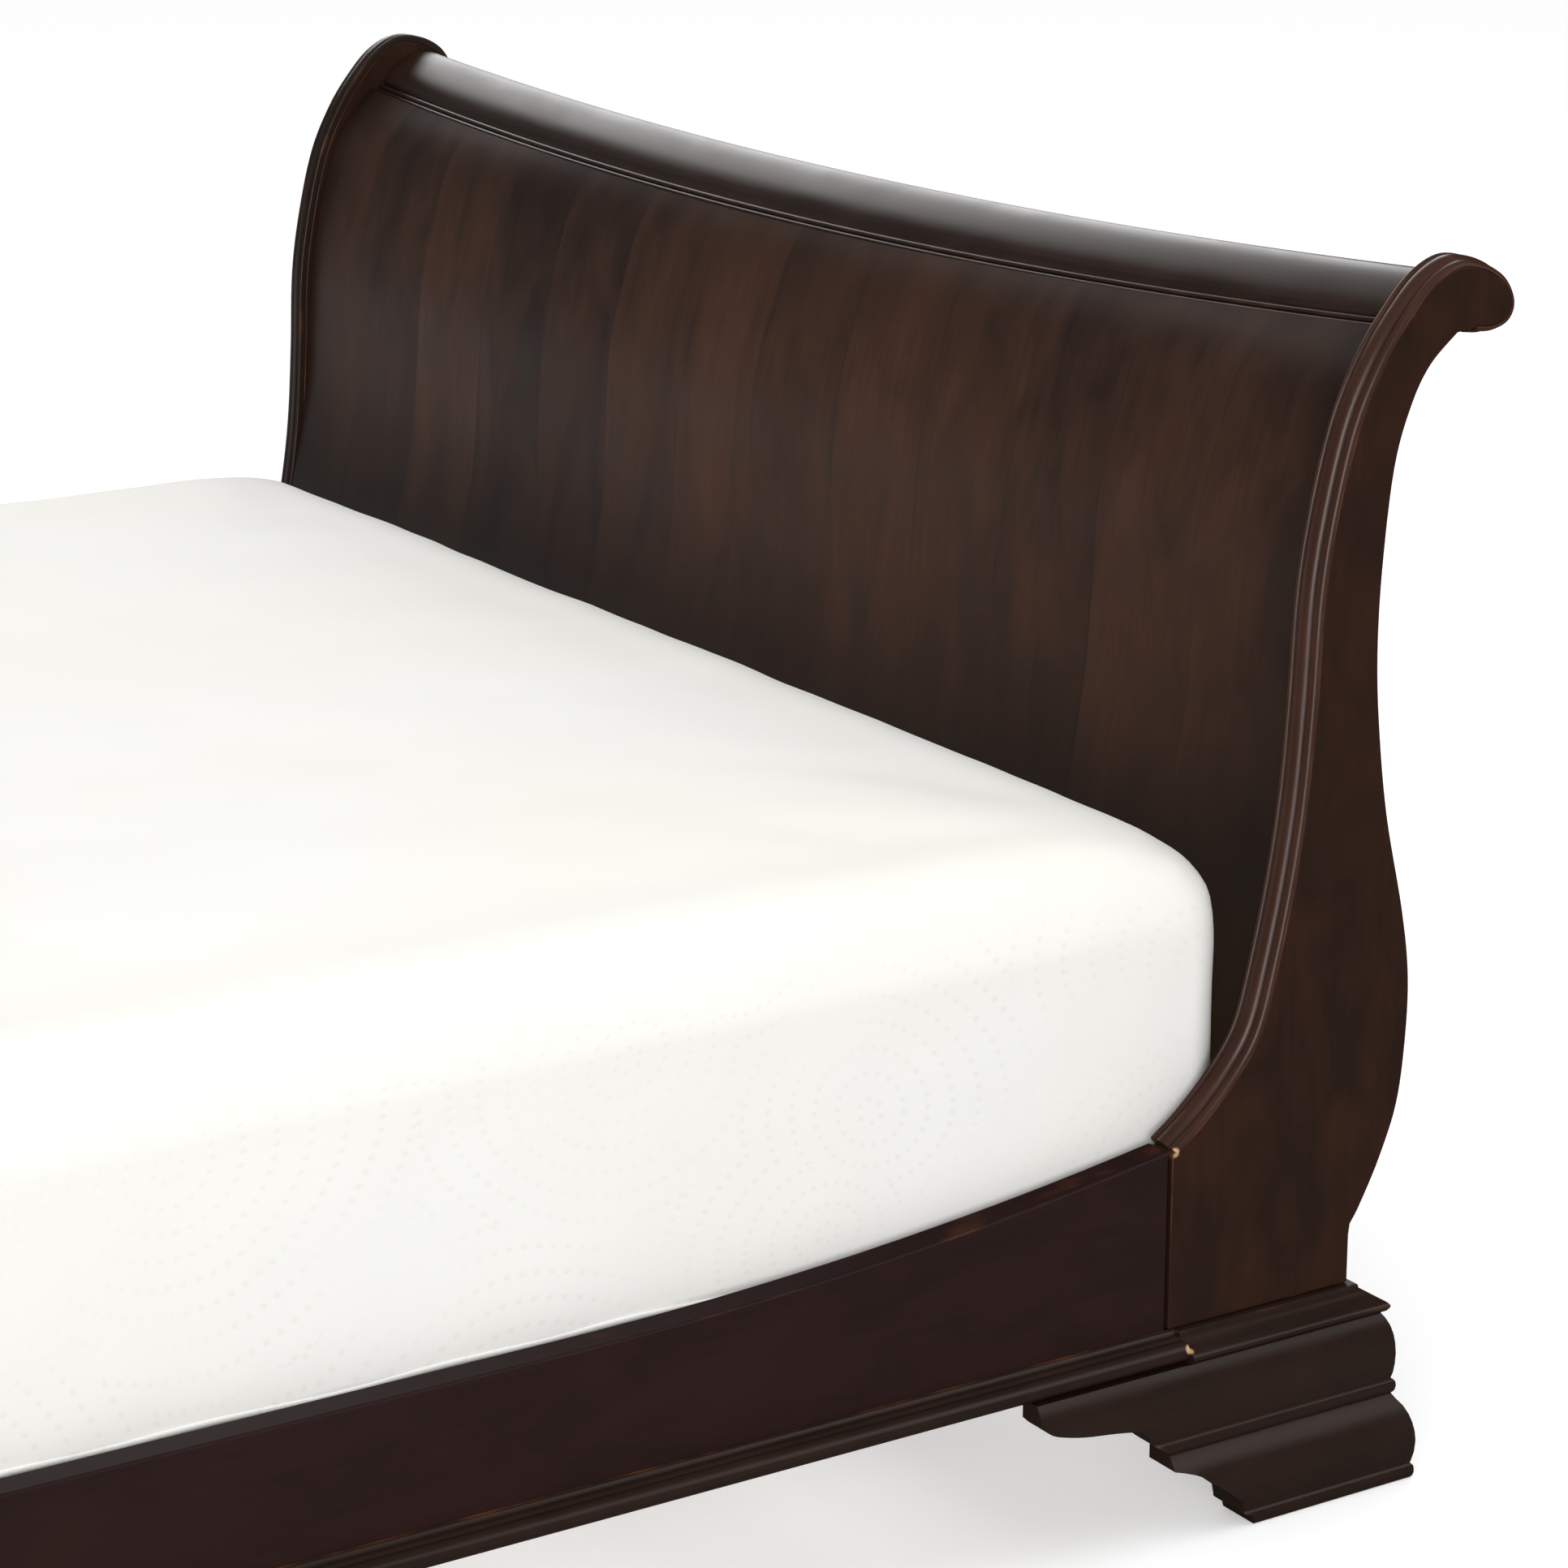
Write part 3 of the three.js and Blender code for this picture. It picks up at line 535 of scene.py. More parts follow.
def veneer(name):
    """Veneer leaves. The random tone of each one comes from its number, counted across the bed."""
    made, tree = empty_finish(name)
    lay = add_node(tree, "ShaderNodeUVMap", uv_map="grain")
    flat = add_node(tree, "ShaderNodeSeparateXYZ", {0: lay})
    wander = add_node(tree, "ShaderNodeTexNoise", {
        "Vector": along_grain(tree, 300 * MM, 400 * MM), "Scale": 1.0, "Detail": 2.0})
    drift = add_node(tree, "ShaderNodeMapRange", {
        "Value": wander, "To Min": -LEAF_WANDER, "To Max": LEAF_WANDER})
    joint = add_node(tree, "ShaderNodeMath", {0: drift, 1: flat.outputs["Y"]}, operation="ADD")
    leaf_place = add_node(tree, "ShaderNodeMath", {0: joint, 1: LEAF_WIDTH}, operation="DIVIDE")
    leaf = add_node(tree, "ShaderNodeMath", {0: leaf_place}, operation="FLOOR")
    within = add_node(tree, "ShaderNodeMath", {0: leaf_place}, operation="FRACT")
    tone_seed = add_node(tree, "ShaderNodeMath", {0: leaf, 1: 0.37}, operation="ADD")
    tone = add_node(tree, "ShaderNodeTexWhiteNoise", {"W": tone_seed}, noise_dimensions="1D")

    slip = add_node(tree, "ShaderNodeCombineXYZ", {"X": flat.outputs["X"], "Y": within, "Z": leaf})
    spread = add_node(tree, "ShaderNodeMapping", {"Vector": slip, "Scale": (4.5, 1.8, 0.35)})
    figure = add_node(tree, "ShaderNodeTexNoise", {
        "Vector": spread, "Scale": 1.0, "Detail": 5.0, "Roughness": 0.55, "Distortion": 0.9})
    mottle = add_node(tree, "ShaderNodeTexNoise", {
        "Vector": along_grain(tree, *LEAF_MOTTLE, 2.0), "Scale": 1.0, "Detail": 4.0, "Distortion": 0.7})
    streaks = add_node(tree, "ShaderNodeTexNoise", {
        "Vector": along_grain(tree, *LEAF_STREAK), "Scale": 1.0, "Detail": 5.0, "Roughness": 0.62})
    pores = add_node(tree, "ShaderNodeTexNoise", {
        "Vector": along_grain(tree, *LEAF_PORE, 3.0), "Scale": 1.0, "Detail": 2.0})

    figured = add_node(tree, "ShaderNodeMapRange", {
        "Value": figure, "From Min": 0.3, "From Max": 0.7, "To Min": -0.02, "To Max": 0.42})
    toned = add_node(tree, "ShaderNodeMapRange", {"Value": tone, "To Max": 0.38})
    leaf_share = add_node(tree, "ShaderNodeMath", {0: figured, 1: toned}, operation="ADD")
    mottled = add_node(tree, "ShaderNodeMapRange", {
        "Value": mottle, "From Min": 0.3, "From Max": 0.7, "To Min": -0.15, "To Max": 0.15})
    share = add_node(tree, "ShaderNodeMath", {0: leaf_share, 1: mottled}, operation="ADD", use_clamp=True)
    base = add_node(tree, "ShaderNodeMix", {
        0: share, 6: paint("#2b1b15"), 7: paint("#593825")}, data_type="RGBA")
    streak = add_node(tree, "ShaderNodeMapRange", {
        "Value": streaks, "From Min": 0.45, "From Max": 0.75, "To Max": 0.28})
    lined = add_node(tree, "ShaderNodeMix", {0: streak, 6: base, 7: paint("#1f1411")}, data_type="RGBA")
    pore = add_node(tree, "ShaderNodeMapRange", {
        "Value": pores, "From Min": 0.64, "From Max": 0.76, "To Max": 0.35})
    pored = add_node(tree, "ShaderNodeMix", {0: pore, 6: lined, 7: paint("#190f0d")}, data_type="RGBA")
    seam = add_node(tree, "ShaderNodeMapRange", {
        "Value": within, "From Min": 0.004, "From Max": 0.012, "To Min": 0.35, "To Max": 0})
    seamed = add_node(tree, "ShaderNodeMix", {0: seam, 6: pored, 7: paint("#150c0a")}, data_type="RGBA")
    # Painted shade, darker beside the posts, under the crest and low down by the mattress.
    painted_shade = add_node(tree, "ShaderNodeAttribute", attribute_name="painted_shade").outputs["Fac"]
    shown = add_node(tree, "ShaderNodeMix", {0: painted_shade, 6: seamed, 7: paint("#120b08")}, data_type="RGBA")

    rise = add_node(tree, "ShaderNodeMath", {0: streaks, 1: pores}, operation="SUBTRACT")
    bump = add_node(tree, "ShaderNodeBump", {"Strength": 0.2, "Distance": 0.1 * MM, "Height": rise})
    gloss = add_node(tree, "ShaderNodeMapRange", {
        "Value": mottle, "From Min": 0.3, "From Max": 0.7, "To Min": 0.35, "To Max": 0.42})
    lacquer = add_node(tree, "ShaderNodeBsdfPrincipled", {
        "Base Color": shown, "Roughness": gloss, "Specular IOR Level": 0.35, "Normal": bump})
    add_node(tree, "ShaderNodeOutputMaterial", {"Surface": lacquer})
    return made


def point_along(line, distance):
    """The point this far along a line from its start."""
    for a, b in zip(line, line[1:]):
        step = (b - a).length
        if distance <= step:
            return a + (b - a) * (distance / step)
        distance -= step
    return line[-1]


def painted_shade_at(x, up, height):
    """How dark the painted shade lies: heavier towards the posts, under the crest and low down."""
    shade_beside_post = PAINTED_SHADE_AT_EDGE * max(1 - (HALF_INNER - abs(x)) / PAINTED_SHADE_REACH, 0) ** PAINTED_SHADE_FALLOFF
    shade_under_crest = PAINTED_SHADE_AT_EDGE * max(1 - (height - up) / PAINTED_SHADE_REACH, 0) ** PAINTED_SHADE_FALLOFF
    low_down = PAINTED_SHADE_LOW_DOWN * min(max((PAINTED_SHADE_START - up) / (PAINTED_SHADE_START - PAINTED_SHADE_FULL), 0), 1)
    return 1 - (1 - shade_beside_post) * (1 - shade_under_crest) * (1 - low_down)


def dip_at(x):
    """The crest's dip: none at the posts, full at mid-width."""
    return 1 - (x / HALF_INNER) ** 2


across_stations = [(-1 + 2 * i / PANEL_COLUMNS) * (HALF_INNER - GAP) for i in range(PANEL_COLUMNS + 1)]
veneer_leaves = veneer("espresso_stained_veneer_leaves")

for board_name, board in BOARDS.items():
    for skin_name, skin in PANELS.items():
        line = smooth_line(stretched(skin["face"], board), CURVE_STEPS)
        length = sum((b - a).length for a, b in zip(line, line[1:]))
        rows = []
        for i in range(PANEL_ROWS + 1):
            row = []
            for x in across_stations:
                place = point_along(line, (length - skin["dip"] * dip_at(x)) * i / PANEL_ROWS)
                row.append(in_place(board, x, place.x, place.y))
            rows.append(row)
        deselect()
        bpy.ops.mesh.primitive_grid_add(x_subdivisions=PANEL_COLUMNS, y_subdivisions=PANEL_ROWS)
        panel = bpy.context.object
        panel.name = f"{board_name}_{skin_name}_veneered_panel"
        panel.data.vertices.foreach_set("co", [c for row in rows for point in row for c in point])
        panel.data.uv_layers[0].name = "grain"
        for loop, corner in zip(panel.data.loops, panel.data.uv_layers["grain"].data):
            row, column = divmod(loop.vertex_index, PANEL_COLUMNS + 1)
            shift = LEAF_START * (1 + board["rise"])
            corner.uv = (length * row / PANEL_ROWS, across_stations[column] + shift)
        # The painted shade is stored on each point of the panel.
        painted_shade = panel.data.attributes.new("painted_shade", "FLOAT", "POINT")
        painted_shade.data.foreach_set("value", [painted_shade_at(x, length * i / PANEL_ROWS, length)
                                         for i in range(PANEL_ROWS + 1) for x in across_stations])
        thicken = panel.modifiers.new("plywood_thickness", "SOLIDIFY")
        thicken.thickness = skin["thickness"]
        thicken.offset = skin["towards"] * board["out"]
        bpy.ops.object.modifier_apply(modifier=thicken.name)
        bpy.ops.object.mode_set(mode="EDIT")
        bpy.ops.mesh.select_all(action="SELECT")
        bpy.ops.mesh.normals_make_consistent(inside=False)
        bpy.ops.object.mode_set(mode="OBJECT")
        finish_piece(panel, veneer_leaves, "veneer_panels", "bed_frame",
                     f"{board_name}_{skin_name}_panel")


# ---- Crest rails and beads ----------------------------------------------------------------------
# A turned-over crest rail closes the top of each board and dips towards mid-width. A double bead is
# pinned under it, against the inner panel.
CREST_SEAT = [(208, 826.6), (201.5, 832.5), (209.6, 840.6)]
CREST_ROLL = [
    (208.6, 845.2), (213, 851.5), (220, 858), (230, 864.8), (240, 869.6), (250, 871.5), (261, 869.5),
    (270, 863.5), (275.5, 855), (275.5, 846), (270, 839.5), (260, 837), (240, 838.5), (229, 838),
    (219, 831), (212, 823.5)]
SEAT_SHIFT = Vector((-22.3, -23.3))
ROLL_SHIFT = Vector((-18, -21))
ROLL_STEPS = 4
BEAD_SECTION = [
    (0.3, 0.3), (0.3, 1.6), (0.7, 2.9), (1.6, 3.9), (2.8, 4.25), (4.0, 3.95), (4.9, 3.1), (5.4, 1.9),
    (5.9, 1.8), (6.2, 2.9), (6.9, 3.8), (8.0, 4.25), (9.2, 4.0), (10.1, 3.1), (10.6, 1.9), (10.8, 0.9),
    (10.8, 0.3), (0.3, 0.3)]

land_low, land_high = Vector(CREST_SEAT[1]), Vector(CREST_SEAT[2])
land_up = (land_high - land_low).normalized()
land_out = Vector((-land_up.y, land_up.x))

for board_name, board in BOARDS.items():
    seat = [Vector(p) for p in CREST_SEAT]
    roll = smooth_line(CREST_ROLL, ROLL_STEPS)
    bead = [land_low + land_up * up + land_out * out for up, out in BEAD_SECTION]
    crest_rows = []
    bead_rows = []
    for x in across_stations:
        seat_dip = SEAT_SHIFT * dip_at(x)
        crest_section = [p + seat_dip for p in seat] + [p + ROLL_SHIFT * dip_at(x) for p in roll]
        crest_section.append(crest_section[0])
        bead_section = [p + seat_dip for p in bead]
        for section, rows in ((crest_section, crest_rows), (bead_section, bead_rows)):
            rows.append([in_place(board, x, p.x * MM + board["lean"], p.y * MM + board["rise"])
                         for p in section])
    crest = laid_surface(f"{board_name}_rolled_crest", crest_rows, start=0.4)
    finish_piece(crest, espresso_trim, "espresso_trim", "bed_frame", f"{board_name}_crest_rail")
    double_bead = laid_surface(f"{board_name}_double_bead", bead_rows, start=2.1)
    finish_piece(double_bead, espresso_trim, "espresso_trim", "bed_frame", f"{board_name}_bead_moulding")


# ---- Rails --------------------------------------------------------------------------------------
# Each side rail is a straight board whose top edge sweeps up to the posts. A base moulding with a
# bold bead runs along its foot, and a bottom rail with the same profile closes each board.
RAIL_THICKNESS = 24 * MM
RAIL_LOW = 242.5 * MM
RAIL_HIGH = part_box("left_side_rail")[1].z
SWEEP = 480 * MM
SWEEP_STEPS = 16
CAP_BOTTOM = 127 * MM
RAIL_EASING = 2.2 * MM
BASE_PROFILE = [
    (0, 127.3), (9, 127.3), (12.5, 127.5), (15.8, 128.4), (18.6, 130.2), (20.5, 132.8), (21.1, 135.8),
    (20.4, 138.8), (18.4, 141.2), (15.6, 142.6), (13.0, 142.9), (11.4, 142.2), (10.4, 142.4), (9.2, 143.6),
    (7.2, 144.2), (5.2, 143.9), (4.3, 144.2), (3.9, 145.2), (3.2, 146.4), (2.4, 147.1), (0.8, 147.6),
    (0, 147.6), (0, 137), (0, 127.3)]
CAP_START = 6 * MM
END_RAIL_FACE = POST_DEPTH - 3 * MM
END_RAIL_TOP = 205 * MM
END_RAIL_THICKNESS = 21 * MM
MOULDING_STEPS = 40

espresso_rails = stained_wood("espresso_rail_hardwood", "#291918", "#37201b", "#1c1211",
                              mottled=0.4, streaked=0.25, roughness=0.36, shine=0.25)
half_rail = (HEAD_JOINT - FOOT_JOINT) / 2 - GAP
rise = RAIL_HIGH - RAIL_LOW
radius = (SWEEP ** 2 + rise ** 2) / (2 * rise)
sweep = []
for i in range(SWEEP_STEPS + 1):
    run = SWEEP * i / SWEEP_STEPS
    sweep.append((half_rail - SWEEP + run, RAIL_LOW + radius - math.sqrt(radius ** 2 - run ** 2)))
top_edge = sweep[::-1] + [(-y, z) for y, z in sweep]
rail_outline = [(MID_RAIL + y, z) for y, z in
                [(half_rail, CAP_BOTTOM + GAP), *top_edge, (-half_rail, CAP_BOTTOM + GAP)]]

for side, sign in SIDES.items():
    low, high = sorted((sign * HALF_INNER, sign * (HALF_INNER + RAIL_THICKNESS)))
    rail = cut_board(f"{side}_swept_rail", rail_outline, low, high, RAIL_EASING, axis=1)
    finish_piece(rail, espresso_rails, "espresso_trim", "bed_frame", f"{side}_side_rail")
    rail_face = HALF_INNER + RAIL_THICKNESS + GAP
    reach = half_rail + CAP_START
    rows = []
    for i in range(MOULDING_STEPS + 1):
        y = MID_RAIL + reach * (2 * i / MOULDING_STEPS - 1)
        rows.append([Vector((sign * (rail_face + out * MM), y, z * MM)) for out, z in BASE_PROFILE])
    moulding = laid_surface(f"{side}_rail_base_bead", rows, start=sign * 0.9)
    finish_piece(moulding, espresso_trim, "espresso_trim", "bed_frame", f"{side}_rail_base_moulding")

# The bright sheen laid over the crests is kept off the level rail tops, which take a dimmer one.
softbox("rail_top_gloss", (4.3, -2.95, 2.7), (0, -1.2, 0.86), (3.8, 2.6), 14, lights="gloss")
for lamp_name, state in (("crest_gloss", "EXCLUDE"), ("rail_top_gloss", "INCLUDE")):
    chosen = bpy.data.collections.new(f"{lamp_name}_{state.lower()}s")
    for side in SIDES:
        chosen.objects.link(bpy.data.objects[f"{side}_swept_rail"])
    for member in chosen.collection_objects:
        member.light_linking.link_state = state
    bpy.data.objects[lamp_name].light_linking.receiver_collection = chosen

for board_name, board in BOARDS.items():
    section = [(END_RAIL_FACE + out * MM, z * MM) for out, z in BASE_PROFILE[:-2]]
    section += [(END_RAIL_FACE, END_RAIL_TOP), (END_RAIL_FACE - END_RAIL_THICKNESS, END_RAIL_TOP),
                (END_RAIL_FACE - END_RAIL_THICKNESS, CAP_BOTTOM + GAP), section[0]]
    rows = [[in_place(board, x, s, z) for s, z in section] for x in across_stations[::2]]
    end_rail = laid_surface(f"{board_name}_base_rail", rows, start=1.3)
    finish_piece(end_rail, espresso_trim, "espresso_trim", "bed_frame", f"{board_name}_bottom_rail")


# ---- Feet ---------------------------------------------------------------------------------------
# Under each post a mitred cap moulding sits on two bracket boards that meet in a mitre at the corner.
# Each bracket has two bold toruses with a bead between, and a scalloped lower edge.
CAP_FACE = [
    (17.6, 127), (20.4, 128.6), (22.0, 130.8), (22.6, 132.4), (22.2, 133.8), (20.4, 135.6), (17.6, 136.9),
    (14.6, 137.9), (11.4, 139.5), (8.6, 141.6), (6.6, 143.3), (5.9, 143.4), (5.7, 144.2), (5.6, 146.4),
    (5.1, 147.4), (3, 147.7)]
BRACKET_BACK = 1
BRACKET_TOP = 126.7
BRACKET_FACE = [
    (17.8, 126.7), (20.4, 122.9), (22.9, 117.6), (24.8, 110.8), (25.8, 104), (26.3, 96), (26.0, 88),
    (25.2, 81), (24.2, 77.2), (24.4, 76.2), (25.6, 75.6), (26.6, 74.2), (27.0, 71.2), (26.6, 68.2),
    (25.6, 66.2), (24.6, 65.4), (24.8, 64.3), (27.6, 60.2), (31.0, 55.8), (34.0, 49.8), (36.2, 43),
    (37.6, 36), (38.2, 29), (37.6, 20), (36.2, 13), (35.8, 11.2), (36.6, 10.4), (37.5, 9.3), (37.9, 7),
    (37.9, 4), (37.3, 1.6), (36, 0)]
TOE = [(53, 0), (51, 7), (44, 10)]
LOWER_SCALLOP = [(42, 20), (31, 29), (17, 39.5), (6, 47.5), (-5, 52), (-15, 55)]
UPPER_SCALLOP = [
    (-15, 66), (-30, 77), (-36, 86), (-44, 90.5), (-64, 94.5), (-88, 97.8), (-105, 101.5), (-118, 106),
    (-126, 113)]
BRACKET_END = -126
BRACKET_STEPS = 48
SCALLOP_STEPS = 4
MITRE_GAP = 0.3
SAW_TOP = 140
SAW_BOTTOM = -5
SAW_FAR = 260
SAW_DEPTH = 100 * MM
BLOCK_SIDE = 52 * MM
BLOCK_TOP = CAP_BOTTOM - GAP
BLOCK_PAST_POST = 0.7 * MM
BLOCK_EASING = 1.5 * MM


def mirrored(piece, name, signs):
    """A copy of its own, mirrored across the planes where a sign is -1."""
    copy = piece.copy()
    copy.data = piece.data.copy()
    copy.name = name
    bpy.context.scene.collection.objects.link(copy)
    for vertex in copy.data.vertices:
        vertex.co = [c * s for c, s in zip(vertex.co, signs)]
    if math.prod(signs) < 0:
        copy.data.flip_normals()
    return copy


# The foot is modelled once: x is proud of the post's outer face, y is out from the rail joint.
# A bracket's length grows with its moulding's depth, which cuts the mitre at the corner.
profile = [*BRACKET_FACE, (BRACKET_BACK, 0), (BRACKET_BACK, BRACKET_TOP), BRACKET_FACE[0]]
rows = []
for i in range(BRACKET_STEPS + 1):
    row = []
    for proud, z in profile:
        length = POST_DEPTH / MM + proud - MITRE_GAP - BRACKET_END
        y = BRACKET_END + length * i / BRACKET_STEPS
        row.append(Vector((HALF_OUTER + proud * MM, y * MM, z * MM)))
    rows.append(row)
side_bracket = laid_surface("side_bracket_blank", rows)

# A template with the scallop as its lower edge saws the bracket to shape.
kept = TOE + smooth_line(LOWER_SCALLOP, SCALLOP_STEPS) + smooth_line(UPPER_SCALLOP, SCALLOP_STEPS)
kept += [(BRACKET_END - 1, UPPER_SCALLOP[-1][1]), (BRACKET_END - 1, SAW_TOP), (SAW_FAR, SAW_TOP),
         (SAW_FAR, SAW_BOTTOM), (TOE[0][0], SAW_BOTTOM)]
deselect()
bpy.ops.mesh.primitive_circle_add(vertices=len(kept), radius=1, fill_type="NGON")
template = bpy.context.object
for vertex, (s, z) in zip(template.data.vertices, kept):
    vertex.co = (HALF_INNER, s * MM, z * MM)
bpy.ops.object.mode_set(mode="EDIT")
bpy.ops.mesh.select_all(action="SELECT")
bpy.ops.mesh.extrude_region_move(TRANSFORM_OT_translate={"value": (SAW_DEPTH, 0, 0)})
bpy.ops.mesh.select_all(action="SELECT")
bpy.ops.mesh.normals_make_consistent(inside=False)
bpy.ops.object.mode_set(mode="OBJECT")
deselect()
side_bracket.select_set(True)
bpy.context.view_layer.objects.active = side_bracket
saw = side_bracket.modifiers.new("saw_scallop", "BOOLEAN")
saw.operation = "INTERSECT"
saw.object = template
saw.solver = "EXACT"
bpy.ops.object.modifier_apply(modifier=saw.name)
bpy.data.objects.remove(template)

end_bracket = side_bracket.copy()
end_bracket.data = side_bracket.data.copy()
bpy.context.scene.collection.objects.link(end_bracket)
for vertex in end_bracket.data.vertices:
    x, y, z = vertex.co
    vertex.co = (HALF_OUTER + y - POST_DEPTH, POST_DEPTH + x - HALF_OUTER, z)
end_bracket.data.flip_normals()

corners = [(HALF_INNER + GAP, CAP_START), (HALF_OUTER, CAP_START), (HALF_OUTER, POST_DEPTH),
           (HALF_INNER + GAP, POST_DEPTH), (HALF_INNER + GAP, CAP_START)]
mitres = [(0, 0), (1, 0), (1, 1), (0, 1), (0, 0)]
rows = [[Vector((x + mitre_x * out * MM, y + mitre_y * out * MM, z * MM)) for out, z in CAP_FACE]
        for (x, y), (mitre_x, mitre_y) in zip(corners, mitres)]
cap = laid_surface("cap_blank", rows)

deselect()
inset = BLOCK_PAST_POST - BLOCK_SIDE / 2
bpy.ops.mesh.primitive_cube_add(size=1, location=(HALF_OUTER + inset, POST_DEPTH + inset, BLOCK_TOP / 2),
                                scale=(BLOCK_SIDE, BLOCK_SIDE, BLOCK_TOP))
block = bpy.context.object
bpy.ops.object.transform_apply(location=True, rotation=True, scale=True)
bpy.ops.object.mode_set(mode="EDIT")
bpy.ops.mesh.select_all(action="SELECT")
bpy.ops.mesh.bevel(offset=BLOCK_EASING, segments=2)
bpy.ops.object.mode_set(mode="OBJECT")


# Planed pine, left unfinished: pale yellow earlywood with darker latewood lines, and no gloss. Its
# fibres are drawn coarser than they are.
RING_BEND = (500 * MM, 50 * MM)
FIBRE = (50 * MM, 0.8 * MM)
RINGS_PER_BEND = 9.0


def planed_pine(name):
    """Pine whose growth rings are even steps of one slow noise."""
    made, tree = empty_finish(name)
    bend = add_node(tree, "ShaderNodeTexNoise", {
        "Vector": along_grain(tree, *RING_BEND), "Scale": 1.0, "Detail": 2.0, "Distortion": 0.4})
    rings = add_node(tree, "ShaderNodeMath", {0: bend, 1: RINGS_PER_BEND}, operation="MULTIPLY")
    ring = add_node(tree, "ShaderNodeMath", {0: rings}, operation="FRACT")
    latewood = add_node(tree, "ShaderNodeMapRange", {"Value": ring, "From Min": 0.3, "To Max": 0.75})
    fibres = add_node(tree, "ShaderNodeTexNoise", {
        "Vector": along_grain(tree, *FIBRE, 4.0), "Scale": 1.0, "Detail": 3.0})
    fibre = add_node(tree, "ShaderNodeMapRange", {
        "Value": fibres, "From Min": 0.4, "From Max": 0.7, "To Max": 0.3})
    base = add_node(tree, "ShaderNodeMix", {
        0: latewood, 6: paint("#d9b483"), 7: paint("#b5824c")}, data_type="RGBA")
    lined = add_node(tree, "ShaderNodeMix", {0: fibre, 6: base, 7: paint("#a87544")}, data_type="RGBA")
    bump = add_node(tree, "ShaderNodeBump", {"Strength": 0.3, "Distance": 0.2 * MM, "Height": fibres})
    wood = add_node(tree, "ShaderNodeBsdfPrincipled", {
        "Base Color": lined, "Roughness": 0.62, "Normal": bump})
    add_node(tree, "ShaderNodeOutputMaterial", {"Surface": wood})
    return made


pine = planed_pine("planed_pine")
map_grain(block, 2)

for board_name, board in BOARDS.items():
    for side, sign in SIDES.items():
        for blank, shown, node, material, slot in (
                (side_bracket, "side_bracket", "foot_side_bracket", espresso_trim, "espresso_trim"),
                (end_bracket, "end_bracket", "foot_end_bracket", espresso_trim, "espresso_trim"),
                (cap, "cap_moulding", "foot_cap", espresso_trim, "espresso_trim"),
                (block, "glue_block", "foot_corner_block", pine, "plain_wood")):
            piece = mirrored(blank, f"{board_name}_{side}_{shown}", (sign, board["out"], 1))
            for vertex in piece.data.vertices:
                vertex.co.y += board["joint"]
            finish_piece(piece, material, slot, "bed_frame", f"{board_name}_{side}_{node}")
for blank in (side_bracket, end_bracket, cap, block):
    bpy.data.objects.remove(blank)


# ---- Joint plates -------------------------------------------------------------------------------
# A flat steel plate is bolted across each joint of rail and post, on the inside. Phosphating leaves it
# charcoal black, with fine crystals that dull the metal. The crystals are drawn coarse enough to show.
CRYSTALS_PER_METRE = 900.0


def phosphated_steel(name):
    """Charcoal steel, with each crystal a little darker and duller away from its middle."""
    made, tree = empty_finish(name)
    place = add_node(tree, "ShaderNodeTexCoord").outputs["Object"]
    crystals = add_node(tree, "ShaderNodeTexVoronoi", {"Vector": place, "Scale": CRYSTALS_PER_METRE})
    duller = add_node(tree, "ShaderNodeMapRange", {
        "Value": crystals, "From Max": 0.8, "To Min": 0.42, "To Max": 0.55})
    darker = add_node(tree, "ShaderNodeMapRange", {"Value": crystals, "From Max": 0.8, "To Max": 0.6})
    mottle = add_node(tree, "ShaderNodeMix", {
        0: darker, 6: paint("#2a2a2d"), 7: paint("#1a1a1c")}, data_type="RGBA")
    metal = add_node(tree, "ShaderNodeBsdfPrincipled", {
        "Base Color": mottle, "Metallic": 1.0, "Roughness": duller})
    add_node(tree, "ShaderNodeOutputMaterial", {"Surface": metal})
    return made


steel = phosphated_steel("phosphated_steel")
for side in SIDES:
    for board_name in BOARDS:
        lay_material(frame["nodes"][f"{side}_{board_name}_joint_plate"], steel)


# ---- Mattress base ------------------------------------------------------------------------------
# Ten pine slats lie loose on ledgers screwed to the rails and on a centre beam, which two legs hold
# up. All are planed bars with their edges eased.
SLATS = 10
SLAT_EASING = 3 * MM
BAR_EASING = 2 * MM


def planed_bar(name, node, axis, easing, start):
    """A bar as large as its CAD node. Its grain runs along the axis and starts `start` metres in."""
    low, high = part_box(node)
    deselect()
    bpy.ops.mesh.primitive_cube_add(size=1, location=(low + high) / 2, scale=high - low)
    bar = bpy.context.object
    bar.name = name
    bpy.ops.object.transform_apply(location=True, rotation=True, scale=True)
    bpy.ops.object.mode_set(mode="EDIT")
    bpy.ops.mesh.select_all(action="SELECT")
    bpy.ops.mesh.bevel(offset=easing, segments=EASING_STEPS)
    bpy.ops.object.mode_set(mode="OBJECT")
    map_grain(bar, axis, start)
    finish_piece(bar, pine, "plain_wood", "bed_frame", node)


for i in range(SLATS):
    planed_bar(f"pine_slat_{i + 1:02d}", f"slat_{i + 1:02d}", 0, SLAT_EASING, 0.37 * i)
for i, side in enumerate(SIDES):
    planed_bar(f"{side}_pine_ledger", f"{side}_slat_ledger", 1, BAR_EASING, 5.1 + i)
planed_bar("pine_centre_beam", "centre_beam", 1, BAR_EASING, 7.7)
for i, end in enumerate(("foot_end", "head_end")):
    planed_bar(f"{end}_pine_leg", f"{end}_support_leg", 2, BAR_EASING, 9.2 + i)


